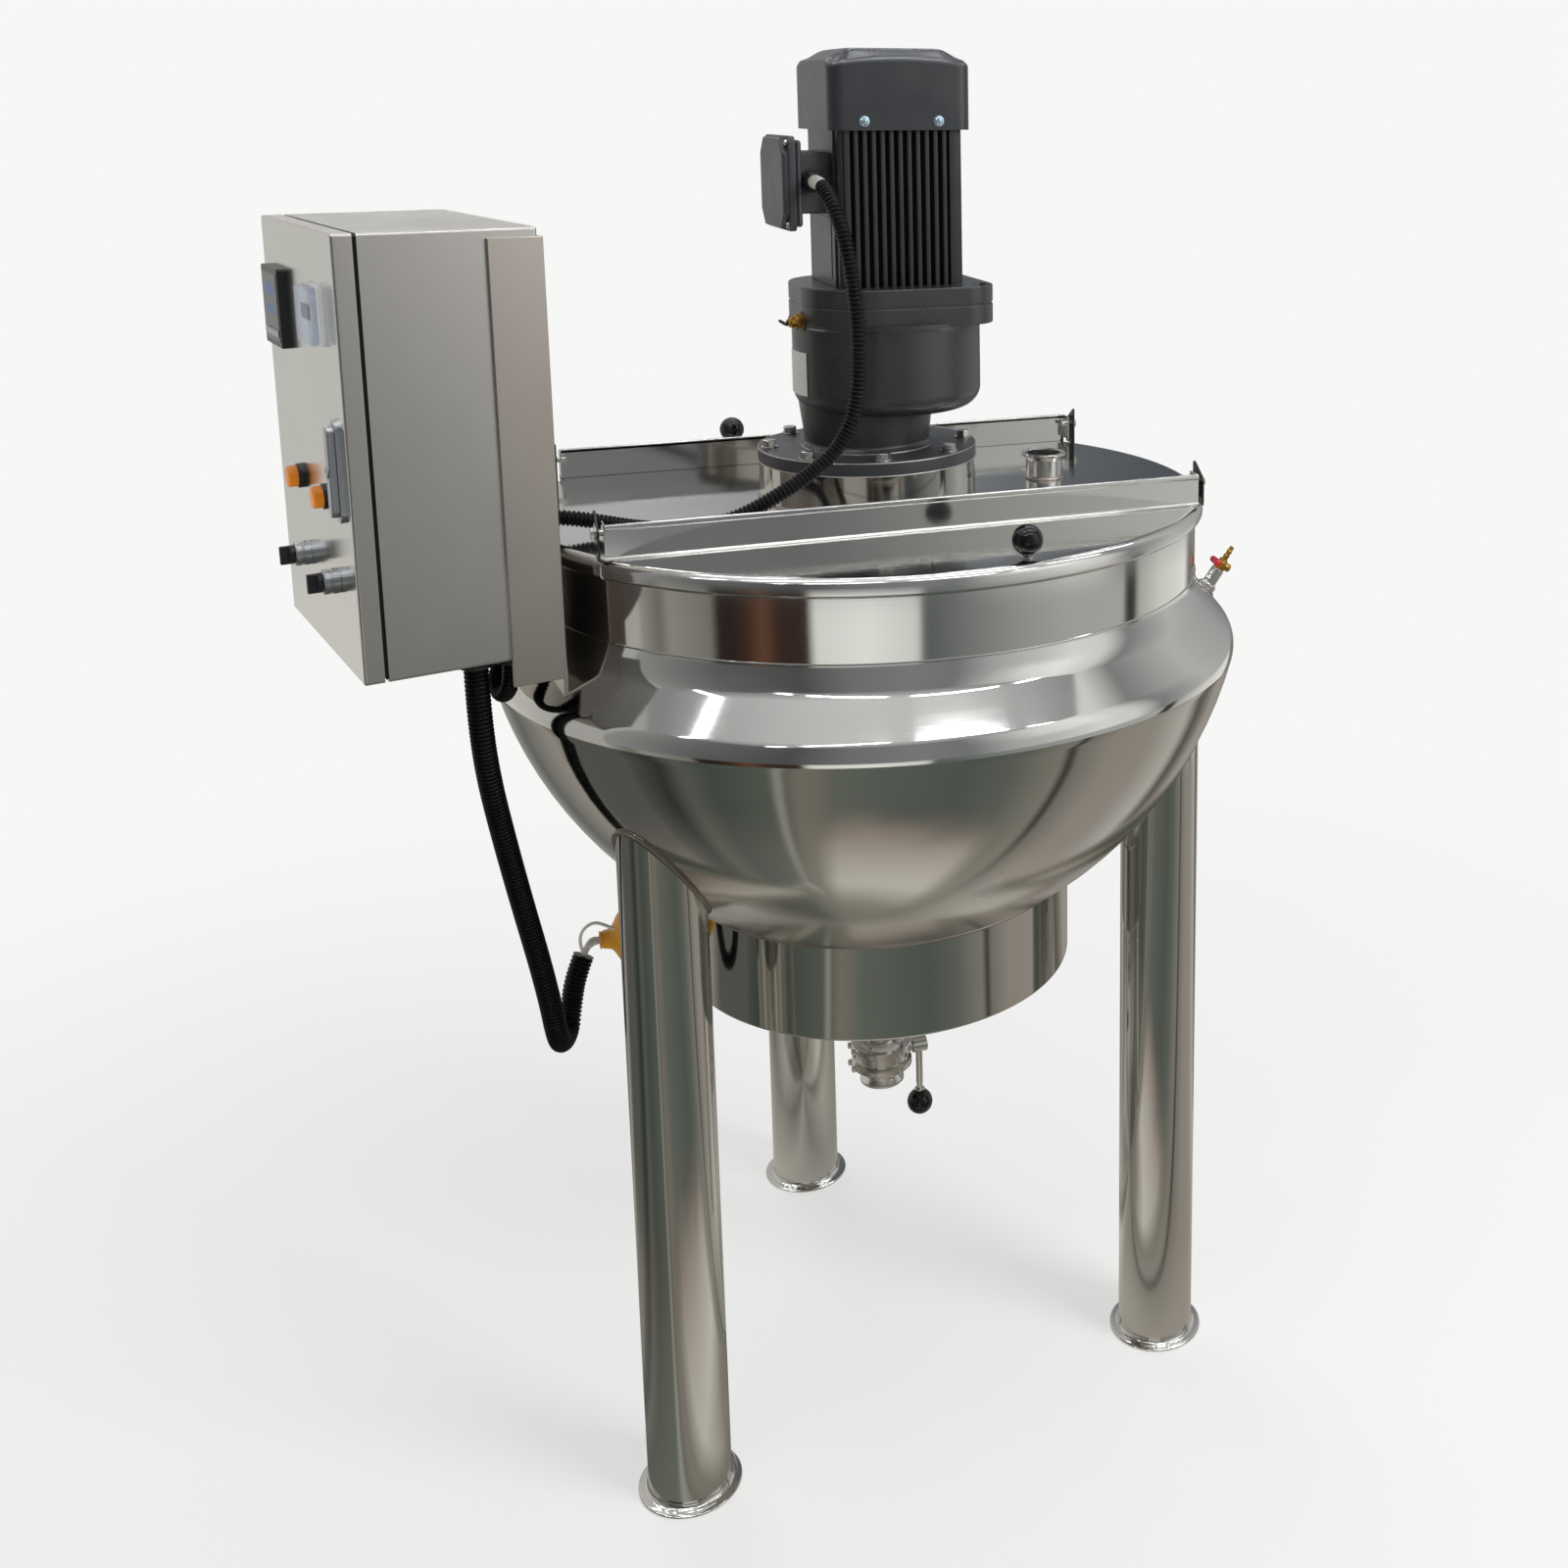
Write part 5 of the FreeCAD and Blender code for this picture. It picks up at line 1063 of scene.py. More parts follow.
def makeCowl():
    m = motor
    half, r = m["cowlHalf"], m["cowlRound"]
    bm = bmesh.new()
    bmesh.ops.create_grid(bm, x_segments=48, y_segments=48, size=1.0)

    def shoulder(w):
        t = max(0.0, (abs(w) - m["plateau"]) / (1 - m["plateau"]))
        return t * t * (3 - 2 * t)

    fall = m["cowlTop"] - m["cowlEdge"]
    for vert in bm.verts:
        u, v = vert.co.x, vert.co.y
        reach = max(abs(u), abs(v), 1e-9)
        bx, by = u / reach * half, v / reach * half
        inner = half - r
        if abs(bx) > inner and abs(by) > inner:
            cx, cy = math.copysign(inner, bx), math.copysign(inner, by)
            off = Vector((bx - cx, by - cy))
            off.normalize()
            bx, by = cx + off.x * r, cy + off.y * r
        pv, pu = shoulder(v), shoulder(u)
        z = m["cowlTop"] - fall * pv - ((1 - pv) * fall * pu + pv * m["cowlDip"] * u * u)
        vert.co = (bx * reach, by * reach, z)
    # sides down to the lower rim, in across the wall, and up inside to the motor's top
    rim = [e for e in bm.edges if e.is_boundary]
    scale = (half - m["cowlWall"]) / half
    for height, shrink in ((m["cowlLow"], 1), (m["cowlLow"], scale), (m["top"] + 0.0003, 1)):
        made = bmesh.ops.extrude_edge_only(bm, edges=rim)
        for vert in vertsIn(made["geom"]):
            vert.co = (vert.co.x * shrink, vert.co.y * shrink, height)
        rim = edgesIn(made["geom"])
    bmesh.ops.edgeloop_fill(bm, edges=rim)
    bmesh.ops.recalc_face_normals(bm, faces=bm.faces)
    easeEdges(bm, 0.0035, 35, 4, lambda e: min(e.verts[0].co.z, e.verts[1].co.z) > 1.8)
    place = kettleAxis @ Matrix.Translation((drive["offset"], 0, 0))
    cowl = finishPiece("cowlShell", bm, "cowlPaint", "kettle", place, 45)
    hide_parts("fan_cowl")
    # two zinc pan-head screws low on the near and far side
    screws = bmesh.new()
    for side in (-1, 1):
        for x in (-0.050, 0.049):
            head = turned((0, 0), [(0.0068, 0), (0.0070, 0.0006), (0.0070, 0.0012), (0.0052, 0.0016),
                                   (0.0052, 0.0026),
                                   (0.0040, 0.0038), (0.0018, 0.0043), (0, 0.0044)], 28)
            slot = block((-0.0030, -0.0006, 0.0036), (0.0030, 0.0006, 0.0050))
            joinInto(slot, block((-0.0006, -0.0030, 0.0036), (0.0006, 0.0030, 0.0050)))
            joinInto(head, slot)
            joinInto(screws, head, along((x, side * half, 1.7715), (0, side, 0)))
    finishPiece("cowlScrews", screws, "zincScrew", "kettle", place)


def makeTerminalBox():
    m = motor
    face = drive["offset"] - m["half"]
    lidBack = face - 0.048
    box = block((lidBack, -0.048, 1.653), (face + 0.003, 0.048, 1.732), 0.003, 3)
    joinInto(box, block((lidBack + 0.0002, -0.066, 1.637), (lidBack + 0.009, 0.066, 1.748), 0.0045, 3))
    body = finishPiece("terminalBoxBody", box, "terminalPaint", "kettle", kettleAxis)
    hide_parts("terminal_box")
    # lid: raised middle with bevelled sides, screw corners notched lower
    low, high = 1.632, 1.753
    bm = roundedPlate(-0.070, 0.070, low, high, 0, 0.009, (0.009, 0.009, 0.009, 0.009), 8)
    easeEdges(bm, 0.0012, 40, 2)
    raised = roundedPlate(-0.068, 0.068, low + 0.002, high - 0.002, 0.006, 0.017,
                          (0.020, 0.020, 0.020, 0.020), 1)
    easeEdges(raised, 0.0045, 40, 3, lambda e: min(e.verts[0].co.z, e.verts[1].co.z) > 0.012)
    joinInto(bm, raised)
    place = kettleAxis @ Matrix.Translation((lidBack, 0, 0)) @ Matrix(
        ((0, 0, -1, 0), (-1, 0, 0, 0), (0, 1, 0, 0), (0, 0, 0, 1)))
    lid = finishPiece("terminalLidCover", bm, "terminalPaint", "kettle", place)
    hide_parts("terminal_lid")
    screws = bmesh.new()
    for u in (-0.0615, 0.0615):
        for w in (low + 0.0085, high - 0.0085):
            head = turned((0, 0), [(0.0042, 0), (0.0044, 0.0005), (0.0044, 0.0026), (0.0036, 0.0036),
                                   (0.0022, 0.0038),
                                   (0.0022, 0.0022), (0, 0.0022)], 24)
            joinInto(screws, head, Matrix.Translation((u, w, 0.009)))
    finishPiece("terminalLidScrews", screws, "boltSteel", "kettle", place)


def makeMotorGland():
    place = kettleAxis @ along((-0.080, -0.048, 1.695), (0, -1, 0))
    nut = hexHead(0.0255, 0.0095, {"radius": 0.0148, "thick": 0.0022})
    joinInto(nut, turned((0, 0.011), [(0.0128, 0.011), (0.0128, 0.016), (0.0116, 0.0195), (0.0104, 0.0216),
                                      (0.0080, 0.0222), (0, 0.0222)], 48))
    # ribs of the dome nut
    for i in range(12):
        turn = Matrix.Rotation(math.tau * i / 12, 4, "Z")
        joinInto(nut, block((0.0118, -0.0009, 0.0115), (0.0136, 0.0009, 0.0165), 0.0004), turn)
    gland = finishPiece("motorGlandNut", nut, "blackNylon", "kettle", place)
    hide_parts("motor_gland")


makeMotorBody()
makeCowl()
makeTerminalBox()
makeMotorGland()
print("drive made")


conduits = {
    "motor": {"node": "motor_conduit", "diameter": 0.020, "length": 0.810, "bare": 0.036, "pitch": 0.0056,
              "depth": 0.0019, "points": [
        (-80, -70, 1695), (-80, -104, 1695), (-75, -136, 1674), (-66, -158, 1634), (-59, -170, 1578),
        (-55, -174, 1518), (-55, -174, 1458), (-63, -174, 1404), (-86, -176, 1364), (-126, -186, 1337),
        (-173, -197, 1314), (-218, -200, 1294), (-262, -192, 1283), (-302, -171, 1280), (-338, -142, 1280),
        (-370, -120, 1284), (-401, -107.5, 1289), (-429.4, -105.6, 1293), (-454.7, -111.1, 1293)]},
    "heater": {"node": "heater_conduit", "diameter": 0.029, "length": 0.730, "pitch": 0.0054,
               "depth": 0.0022, "points": [
        (-533, -198, 1142), (-533, -198, 1084), (-527, -182, 1000), (-511, -151, 900), (-493, -122, 800),
        (-476, -99, 712), (-464, -84, 640), (-458, -76, 592), (-451, -59, 566), (-438.5, -28.5, 568),
        (-432, -14, 598), (-425, -9, 632), (-412, -4, 660)]},
    "sensor": {"node": "sensor_conduit", "diameter": 0.020, "length": 0.155, "pitch": 0.0056,
               "depth": 0.0019, "points": [
        (-493.8, -195.3, 1142), (-493.8, -195.3, 1116), (-501.1, -180.5, 1096), (-508.6, -155.5, 1094),
        (-507.8, -130.8, 1110), (-492.8, -115.3, 1131), (-470.3, -110.4, 1131)]},
}


# positions along the smooth line through a route's points, closely and evenly spaced
def routeLine(points):
    line = bpy.data.curves.new("route", "CURVE")
    line.dimensions = "3D"
    spline = line.splines.new("NURBS")
    spline.points.add(len(points) - 1)
    for slot, (x, y, z) in zip(spline.points, points):
        slot.co = (x / 1000 + kettle["axisX"], y / 1000, z / 1000, 1)
    spline.order_u = 3
    spline.use_endpoint_u = True
    spline.resolution_u = 16
    holder = bpy.data.objects.new("route", line)
    mesh = bpy.data.meshes.new_from_object(holder)
    path = [vert.co.copy() for vert in mesh.vertices]
    bpy.data.objects.remove(holder)
    bpy.data.curves.remove(line)
    bpy.data.meshes.remove(mesh)
    return path


# points at equal steps along a path, each with its direction
def evenSteps(path, step):
    reach = [0.0]
    for a, b in zip(path, path[1:]):
        reach.append(reach[-1] + (b - a).length)
    count = max(2, round(reach[-1] / step))
    found, seg = [], 0
    for i in range(count + 1):
        goal = reach[-1] * i / count
        while seg < len(path) - 2 and reach[seg + 1] < goal:
            seg += 1
        span = reach[seg + 1] - reach[seg] or 1e-9
        share = (goal - reach[seg]) / span
        found.append((path[seg].lerp(path[seg + 1], share), (path[seg + 1] - path[seg]).normalized()))
    return found


# corrugated tube: rings of two radii joined along the route
def makeConduit(key):
    c = conduits[key]
    path = routeLine(c["points"])
    stations = evenSteps(path, c["pitch"] / 6)
    # the first stretch can be bare cable that shows before it goes into the corrugated tube
    bare = round(c.get("bare", 0) / c["pitch"] * 6)
    outer = c["diameter"] / 2
    inner = outer - c["depth"]
    levels = (outer - 0.0005, outer, outer, outer - 0.0005, inner, inner)
    bm = bmesh.new()
    side = stations[0][1].orthogonal().normalized()
    last = None
    for i, (place, ahead) in enumerate(stations):
        side = (side - ahead * side.dot(ahead)).normalized()
        up = ahead.cross(side)
        radius = levels[i % 6] if i >= bare else outer - 0.0012
        made = bmesh.ops.create_circle(bm, cap_ends=False, segments=20, radius=radius)
        matrix = Matrix((side, up, ahead)).transposed().to_4x4()
        matrix.translation = place
        bmesh.ops.transform(bm, matrix=matrix, verts=made["verts"])
        edges = list({e for v in made["verts"] for e in v.link_edges})
        if last:
            bmesh.ops.bridge_loops(bm, edges=last + edges)
        else:
            bmesh.ops.edgeloop_fill(bm, edges=edges)
        last = edges
    bmesh.ops.edgeloop_fill(bm, edges=last)
    bmesh.ops.recalc_face_normals(bm, faces=bm.faces)
    tube = finishPiece(key + "Conduit", bm, "conduitPlastic", "kettle", None, 50)
    if bare:
        tube.data.materials.append(bpy.data.materials["wireSleeve"])
        for face in tube.data.polygons[:20 * bare]:
            face.material_index = 1
    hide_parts(c["node"])
    return tube


def makeLeads():
    # white sleeve and two loose cores between the heater conduit and the boot
    cores = bmesh.new()
    for spread_, lift, radius in ((-0.0032, 0.0, 0.0030), (0.0034, 0.001, 0.0030), (0.0, -0.0036, 0.0027),
                                  (0.0006, 0.0046, 0.0024)):
        points = [Vector((x / 1000 + kettle["axisX"], y / 1000 + spread_ * near, z / 1000 + lift * near))
                  for x, y, z, near in ((-416, -5.4, 650, 0.7), (-411, -3.6, 661, 1.0),
                                        (-406, -2, 671, 1.0),
                                        (-399, 0, 675.6, 1.0), (-390, 0, 676, 0.6), (-386, 0, 676, 0.4))]
        joinInto(cores, curveMesh("core", points, radius, False, 12))
    leads = finishPiece("heaterCores", cores, "wireSleeve", "kettle", None, 60)
    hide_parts("heater_leads")
    # one core loops up beside the boot
    loop = curveMesh("loop", [Vector((x / 1000 + kettle["axisX"], y / 1000, z / 1000)) for x, y, z in
                              ((-412, -10, 664), (-418, -16, 684), (-414, -20, 704), (-400, -22, 714),
                               (-386, -20, 708),
                               (-372, -24, 700))], 0.0022, False, 12)
    finishPiece("heaterCoreLoop", loop, "wireSleeve", "kettle", None, 60)
    return leads


leads = makeLeads()
makeConduit("motor")
makeConduit("heater")
makeConduit("sensor")
print("conduits made")


cabinet = {"front": -0.695, "rear": -0.473, "near": -0.117, "far": 0.269, "low": 1.152, "high": 1.657,
           "doorDepth": 0.024, "bodyFront": -0.6682, "sheet": 0.002, "bend": 0.0032, "lip": 0.014,
           "lipPad": 0.0012, "seal": 0.011, "sealInset": 0.003, "hinges": (1.237, 1.597)}


# folded sheet box, open on its front or rear face, with rounded folds
def openBox(front, rear, openFront):
    c = cabinet
    bm = block((front, c["near"], c["low"]), (rear, c["far"], c["high"]))
    gone = max(bm.faces, key=lambda f: -f.calc_center_median().x if openFront else f.calc_center_median().x)
    bmesh.ops.delete(bm, geom=[gone], context="FACES_ONLY")
    roundEdges(bm, [e for e in bm.edges if len(e.link_faces) == 2], c["bend"], 4)
    bmesh.ops.recalc_face_normals(bm, faces=bm.faces)
    probe = max(bm.faces, key=lambda f: f.calc_center_median().z)
    if probe.normal.z < 0:
        bmesh.ops.reverse_faces(bm, faces=bm.faces)
    bmesh.ops.solidify(bm, geom=bm.faces[:], thickness=c["sheet"])
    return bm


# four strips that frame the cabinet's opening, as (y, z) of two opposite corners
def openingStrips(inset, width):
    c = cabinet
    y0, y1, z0, z1 = c["near"] + inset, c["far"] - inset, c["low"] + inset, c["high"] - inset
    return (((y0, z0), (y1, z0 + width)), ((y0, z1 - width), (y1, z1)),
            ((y0, z0 + width), (y0 + width, z1 - width)), ((y1 - width, z0 + width), (y1, z1 - width)))


# half of each lift-off hinge: a leaf and its knuckle, from a height upwards
def hingeHalves(front, rear, knuckle, rise, tall, rounded):
    c = cabinet
    bm = bmesh.new()
    for z in c["hinges"]:
        joinInto(bm, block((front, c["far"], z + rise), (rear, c["far"] + 0.005, z + rise + tall), 0.0008))
        joinInto(bm, turned((0, 0), [(0.0056, 0), (0.006, 0.0004), (0.006, tall - 0.0004), (rounded, tall),
                                     (0, tall)], 32), Matrix.Translation((knuckle, c["far"] + 0.007,
                                                                          z + rise)))
    return bm


def makeCabinetBody():
    c = cabinet
    bm = openBox(c["bodyFront"], c["rear"], True)
    # inward lip round the opening
    pad = c["lipPad"]
    for low, high in openingStrips(0, c["lip"]):
        joinInto(bm, block((c["bodyFront"], low[0] + pad, low[1] + pad),
                           (c["bodyFront"] + 0.002, high[0] - pad, high[1] - pad)))
    body = finishPiece("cabinetShell", bm, "cabinetSteel", "kettle", cabinetAxes)
    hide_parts("cabinet_body")
    hinge = hingeHalves(-0.671, -0.638, -0.671, -0.025, 0.025, 0.0056)
    finishPiece("hingeLowerLeaves", hinge, "fittingSteel", "kettle", cabinetAxes)


def makeDoor():
    c = cabinet
    rear = c["front"] + c["doorDepth"] - 0.0015
    bm = openBox(c["front"], rear, False)
    door = finishPiece("doorPanel", bm, "doorSteel", "cabinet_door", cabinetAxes)
    # the bent edges are left satin, like the box behind them
    door.data.materials.append(materials["cabinetSteel"])
    outward = cabinetAxes.to_3x3() @ Vector((-1, 0, 0))
    for face in door.data.polygons:
        face.material_index = 0 if face.normal.dot(outward) > 0.8 else 1
    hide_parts("cabinet_door")
    hinge = hingeHalves(rear - 0.018, rear, rear, 0.0005, 0.0245, 0.0054)
    finishPiece("hingeUpperLeaves", hinge, "fittingSteel", "cabinet_door", cabinetAxes)


def makeCabinetSeal():
    c = cabinet
    bm = bmesh.new()
    face = c["bodyFront"]
    for low, high in openingStrips(c["sealInset"], c["seal"]):
        joinInto(bm, block((face - 0.0025, low[0], low[1]), (face, high[0], high[1]), 0.0006))
    seal = finishPiece("doorSeal", bm, "doorGasket", "kettle", cabinetAxes)
    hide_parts("cabinet_gasket")


doorFittings = {"controller": (0.190, 1.552), "timer": (-0.020, 1.562), "lights": (0.138, -0.002),
                "lightZ": 1.350,
                "selectors": (0.131, -0.025), "selectorZ": 1.255, "latch": (-0.078, 1.392)}


# axes of a fitting on the door: Z leaves the door, Y is up, X runs towards -Y of the cabinet
def onDoor(y, z, lift=0.0):
    place = Matrix(((0, 0, -1, cabinet["front"] - lift), (-1, 0, 0, y), (0, 1, 0, z), (0, 0, 0, 1)))
    return cabinetAxes @ place


def faceplate(half, halfUp, low, high, corner, edge, steps=5):
    bm = roundedPlate(-half, half, -halfUp, halfUp, low, high, (corner,) * 4, steps)
    return easeEdges(bm, edge, 40, 3, lambda e: max(e.verts[0].co.z, e.verts[1].co.z) > high - 1e-5)


def makeController():
    y, z = doorFittings["controller"]
    bm = faceplate(0.048, 0.048, 0, 0.010, 0.004, 0.0015)
    body = finishPiece("controllerFrame", bm, "blackPlastic", "cabinet_door", onDoor(y, z))
    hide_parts("controller")
    glass = faceplate(0.041, 0.041, 0.0098, 0.0106, 0.002, 0.0004)
    finishPiece("controllerWindow", glass, "displayGlass", "cabinet_door", onDoor(y, z))
    keys = bmesh.new()
    for i in range(4):
        joinInto(keys, faceplate(0.0072, 0.0040, 0.0104, 0.0122, 0.0015, 0.0006), Matrix.Translation(
            (-0.0285 + 0.019 * i, -0.031, 0)))
    finishPiece("controllerKeys", keys, "greyPlastic", "cabinet_door", onDoor(y, z))
    # rows of lit segments, left as plain bars
    lit = bmesh.new()
    for up, tall in ((0.021, 0.0075), (-0.003, 0.0060)):
        for i in range(4):
            joinInto(lit, faceplate(0.0034, tall, 0.0104, 0.0108, 0.001, 0.0002),
                     Matrix.Translation((-0.0195 + 0.013 * i, up, 0)))
    finishPiece("controllerDisplay", lit, "blueDisplay", "cabinet_door", onDoor(y, z))


def makeTimer():
    y, z = doorFittings["timer"]
    base = faceplate(0.036, 0.034, 0, 0.006, 0.003, 0.001)
    joinInto(base, faceplate(0.030, 0.0285, 0.005, 0.011, 0.002, 0.001))
    body = finishPiece("timerBase", base, "whitePlastic", "cabinet_door", onDoor(y, z))
    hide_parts("timer")
    wheels = bmesh.new()
    for i in range(4):
        joinInto(wheels, faceplate(0.0042, 0.0085, 0.0105, 0.0122, 0.001, 0.0005),
                 Matrix.Translation((-0.0165 + 0.011 * i, 0.004, 0)))
    finishPiece("timerWheels", wheels, "blackPlastic", "cabinet_door", onDoor(y, z))
    cover = faceplate(0.0345, 0.0325, 0.0062, 0.016, 0.004, 0.0022)
    finishPiece("timerCover", cover, "clearCover", "cabinet_door", onDoor(y, z))


def makeLights():
    z = doorFittings["lightZ"]
    collars, lenses = bmesh.new(), bmesh.new()
    for y in doorFittings["lights"]:
        place = onDoor(y, z)
        joinInto(collars, turned((0, 0), [(0.0148, 0), (0.015, 0.0004), (0.015, 0.0058), (0.0143, 0.0065),
                                          (0, 0.0065)], 48), place)
        joinInto(lenses, turned((0, 0.0065), [(0.0128, 0.0065), (0.0130, 0.0070), (0.0130, 0.0150),
                                              (0.0098, 0.0150, -90), (0.0060, 0.0185), (0, 0.0188)], 48,
                                18), place)
    collar = finishPiece("lightCollars", collars, "blackPlastic", "cabinet_door")
    finishPiece("lightLenses", lenses, "lensOrange", "cabinet_door")
    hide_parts("pilot_lights")


def makeSelectors():
    z = doorFittings["selectorZ"]
    rings = bmesh.new()
    for y in doorFittings["selectors"]:
        place = onDoor(y, z)
        joinInto(rings, turned((0, 0), [(0.0142, 0), (0.0145, 0.0005), (0.0145, 0.0078), (0.0136, 0.0088),
                                        (0.0136, 0.0100), (0.0145, 0.0110), (0.0145, 0.0168),
                                        (0.0133, 0.0180),
                                        (0.0118, 0.0180), (0.0115, 0.0176), (0, 0.0176)], 56), place)
        for i in range(28):
            turn = place @ Matrix.Rotation(math.tau * i / 28, 4, "Z")
            joinInto(rings, block((0.0139, -0.0006, 0.0016), (0.01485, 0.0006, 0.0068)), turn)
    bezel = finishPiece("selectorRings", rings, "chromeRing", "cabinet_door")
    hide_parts("selector_bezels")
    for tag, y in zip(("far", "near"), doorFittings["selectors"]):
        disc = turned((0, 0.0185), [(0.0110, 0.0185), (0.0115, 0.019), (0.0115, 0.0234), (0.0105, 0.0242),
                                    (0, 0.0242)], 40)
        grip = roundedPlate(-0.0035, 0.0035, -0.0112, 0.0112, 0.022, 0.0345, (0.0016,) * 4, 4)
        easeEdges(grip, 0.0012, 40, 3)
        joinInto(disc, grip)
        knob = finishPiece("selectorGrip_" + tag, disc, "blackPlastic", "selector_knob_" + tag,
                           onDoor(y, z))
        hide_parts("selector_knob_" + tag)
        mark = block((-0.0007, 0.002, 0.0342), (0.0007, 0.0105, 0.0349))
        finishPiece("selectorMark_" + tag, mark, "greyPlastic", "selector_knob_" + tag,
                    onDoor(y, z))


def makeLatch():
    y, z = doorFittings["latch"]
    plate = faceplate(0.013, 0.059, 0, 0.005, 0.0125, 0.0015, 8)
    latch = finishPiece("latchPlate", plate, "chromeRing", "cabinet_door", onDoor(y, z))
    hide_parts("door_latch")
    grip = faceplate(0.009, 0.052, 0.0054, 0.0134, 0.0088, 0.0028, 8)
    joinInto(grip, turned((0, 0.0134), [(0.0068, 0.0134), (0.0070, 0.0138), (0.0070, 0.0145),
                                        (0.0064, 0.0149),
                                        (0.0030, 0.0149), (0.0028, 0.0142), (0, 0.0142)], 32))
    handle = finishPiece("latchHandle", grip, "chromeRing", "door_handle", onDoor(y, z))
    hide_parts("door_handle")


def makeGlandNuts():
    bm = bmesh.new()
    ups = ((-0.533, -0.198, 1.142, 0.0195), (-0.4938, -0.1953, 1.142, 0.015))
    for x, y, z, r in ups:
        place = kettleAxis @ Matrix.Translation((x, y, z))
        joinInto(bm, hexHead(r * 1.85, 0.0062, {"radius": r, "thick": 0.0036}), place)
    turn = math.radians(kettle["cabinetTurn"])
    place = kettleAxis @ along((-0.4703, -0.1104, 1.131), (math.cos(turn), math.sin(turn), 0))
    joinInto(bm, hexHead(0.0277, 0.0062, {"radius": 0.015, "thick": 0.0036}), place)
    nuts = finishPiece("conduitNuts", bm, "blackNylon", "kettle")
    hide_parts("conduit_glands")


makeCabinetBody()
makeDoor()
makeCabinetSeal()
dressedNode("cabinet_bracket", "bracketSteel", "kettle", "bracketCradle")
makeController()
makeTimer()
makeLights()
makeSelectors()
makeLatch()
makeGlandNuts()
print("cabinet made")


outlet = {"top": 0.445, "low": 0.409, "body": 0.037, "clamp": 0.044, "clampLip": 0.0425,
          "clampHeight": 0.009,
          "bottom": 0.385, "bore": 0.0238, "stemZ": 0.427, "stemReach": 0.057, "hub": 0.011, "lever": 0.005}


def makeOutlet():
    o = outlet
    tube = turned((o["bore"], o["top"]), [(0.0254, o["top"]), (0.0254, 0.693), (o["bore"], 0.693),
                                          (o["bore"], o["top"])], 72)
    bead = curveMesh("outletBead", ringPoints(0.0262, 0.5945, 48), 0.0022, True, 10)
    pipe = finishPiece("outletTube", joinInto(tube, bead), "fittingSteel", "kettle",
                       kettleAxis)
    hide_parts("outlet_pipe")
    low, top, lip, tall = o["low"], o["top"], o["clampLip"], o["clampHeight"]
    body = turned((o["bore"], low), [
        (lip, low), (o["clamp"], low + 0.0015), (o["clamp"], low + tall - 0.0015), (lip, low + tall),
        (o["body"], low + tall + 0.0015), (o["body"], top - tall - 0.0015),
        (lip, top - tall), (o["clamp"], top - tall + 0.0015), (o["clamp"], top - 0.0015),
        (lip, top), (o["bore"], top), (o["bore"], low),
    ], 96)
    # clamp bolts and their lugs on the far side
    for z in (low + tall / 2, top - tall / 2):
        for y in (-0.010, 0.010):
            joinInto(body, block((-0.0475, y - 0.003, z - 0.004), (-0.0400, y + 0.003, z + 0.004), 0.001))
    neck = turned((0, 0), [(0.012, 0), (0.012, 0.0400), (0.0105, 0.0415), (0.0070, 0.0415),
                           (0.0070, 0.0456), (0, 0.0456)], 40)
    joinInto(body, neck, along((0, 0, o["stemZ"]), (1, 0, 0)))
    # socket screws that hold the valve's two halves
    for i in range(4):
        angle = math.radians(45 + 90 * i)
        joinInto(body, hexHead(0.008, 0.004, {"radius": 0.005, "thick": 0.0008}),
                 Matrix.Translation((0.0352 * math.cos(angle), 0.0352 * math.sin(angle), top - 0.0002)))
    valve = finishPiece("valveBody", body, "fittingSteel", "kettle", kettleAxis)
    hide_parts("outlet_valve")
    end = ferruleBody(low - o["bottom"])
    finishPiece("outletFerrule", end, "fittingSteel", "kettle",
                kettleAxis @ Matrix.Translation((0, 0, low)) @ Matrix.Rotation(math.pi, 4, "X"))
    # gaskets that show in the two clamped joints
    seal = bmesh.new()
    for inside, outside, z0, z1 in ((0.0242, 0.0330, low - 0.0009, low + 0.0003),
                                    (0.0256, 0.0335, top + 0.0002, top + 0.0016)):
        joinInto(seal, turned((inside, z0), [(outside, z0), (outside, z1), (inside, z1), (inside, z0)], 64))
    finishPiece("valveSeals", seal, "gasketSilicone", "kettle", kettleAxis)


def makeOutletLever():
    o = outlet
    start = (o["stemReach"] - o["hub"], 0, o["stemZ"])
    hub = turned((0, 0), [(o["hub"] - 0.001, 0), (o["hub"], 0.001), (o["hub"], 0.021),
                          (o["hub"] - 0.001, 0.022),
                          (0.006, 0.022), (0.006, 0.0208), (0, 0.0208)], 40)
    arm = bmesh.new()
    joinInto(arm, hub, along(start, (1, 0, 0)))
    rod = turned((0, 0), [(o["lever"], 0), (o["lever"], 0.060), (0.0044, 0.064), (0.0044, 0.078),
                          (0, 0.078)], 28)
    joinInto(arm, rod, along((o["stemReach"], 0, o["stemZ"]), (0, 0, -1)))
    lever = finishPiece("leverArm", arm, "fittingSteel", "outlet_lever", kettleAxis)
    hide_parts("outlet_lever")
    makeBallKnob("lever", (o["stemReach"], 0, o["stemZ"] - 0.0705), (0, 0, -1), "outlet_lever", None)


# axes of the vent cock: Z along its tube, from the jacket's face
def leanedCock():
    slope = math.radians(vessel["coneAngle"])
    sc, sr = vessel["shoulderCentre"], vessel["shoulder"]
    end = (sc[0] + math.sin(slope) * sr, sc[1] + math.cos(slope) * sr)
    surface = end[1] + (end[0] - 0.484) * math.tan(slope)
    return (kettleAxis @ Matrix.Rotation(math.radians(-10), 4,
                                         "Z") @ Matrix.Translation((0.484, 0, surface))
            @ Matrix.Rotation(math.radians(34), 4, "Y"))


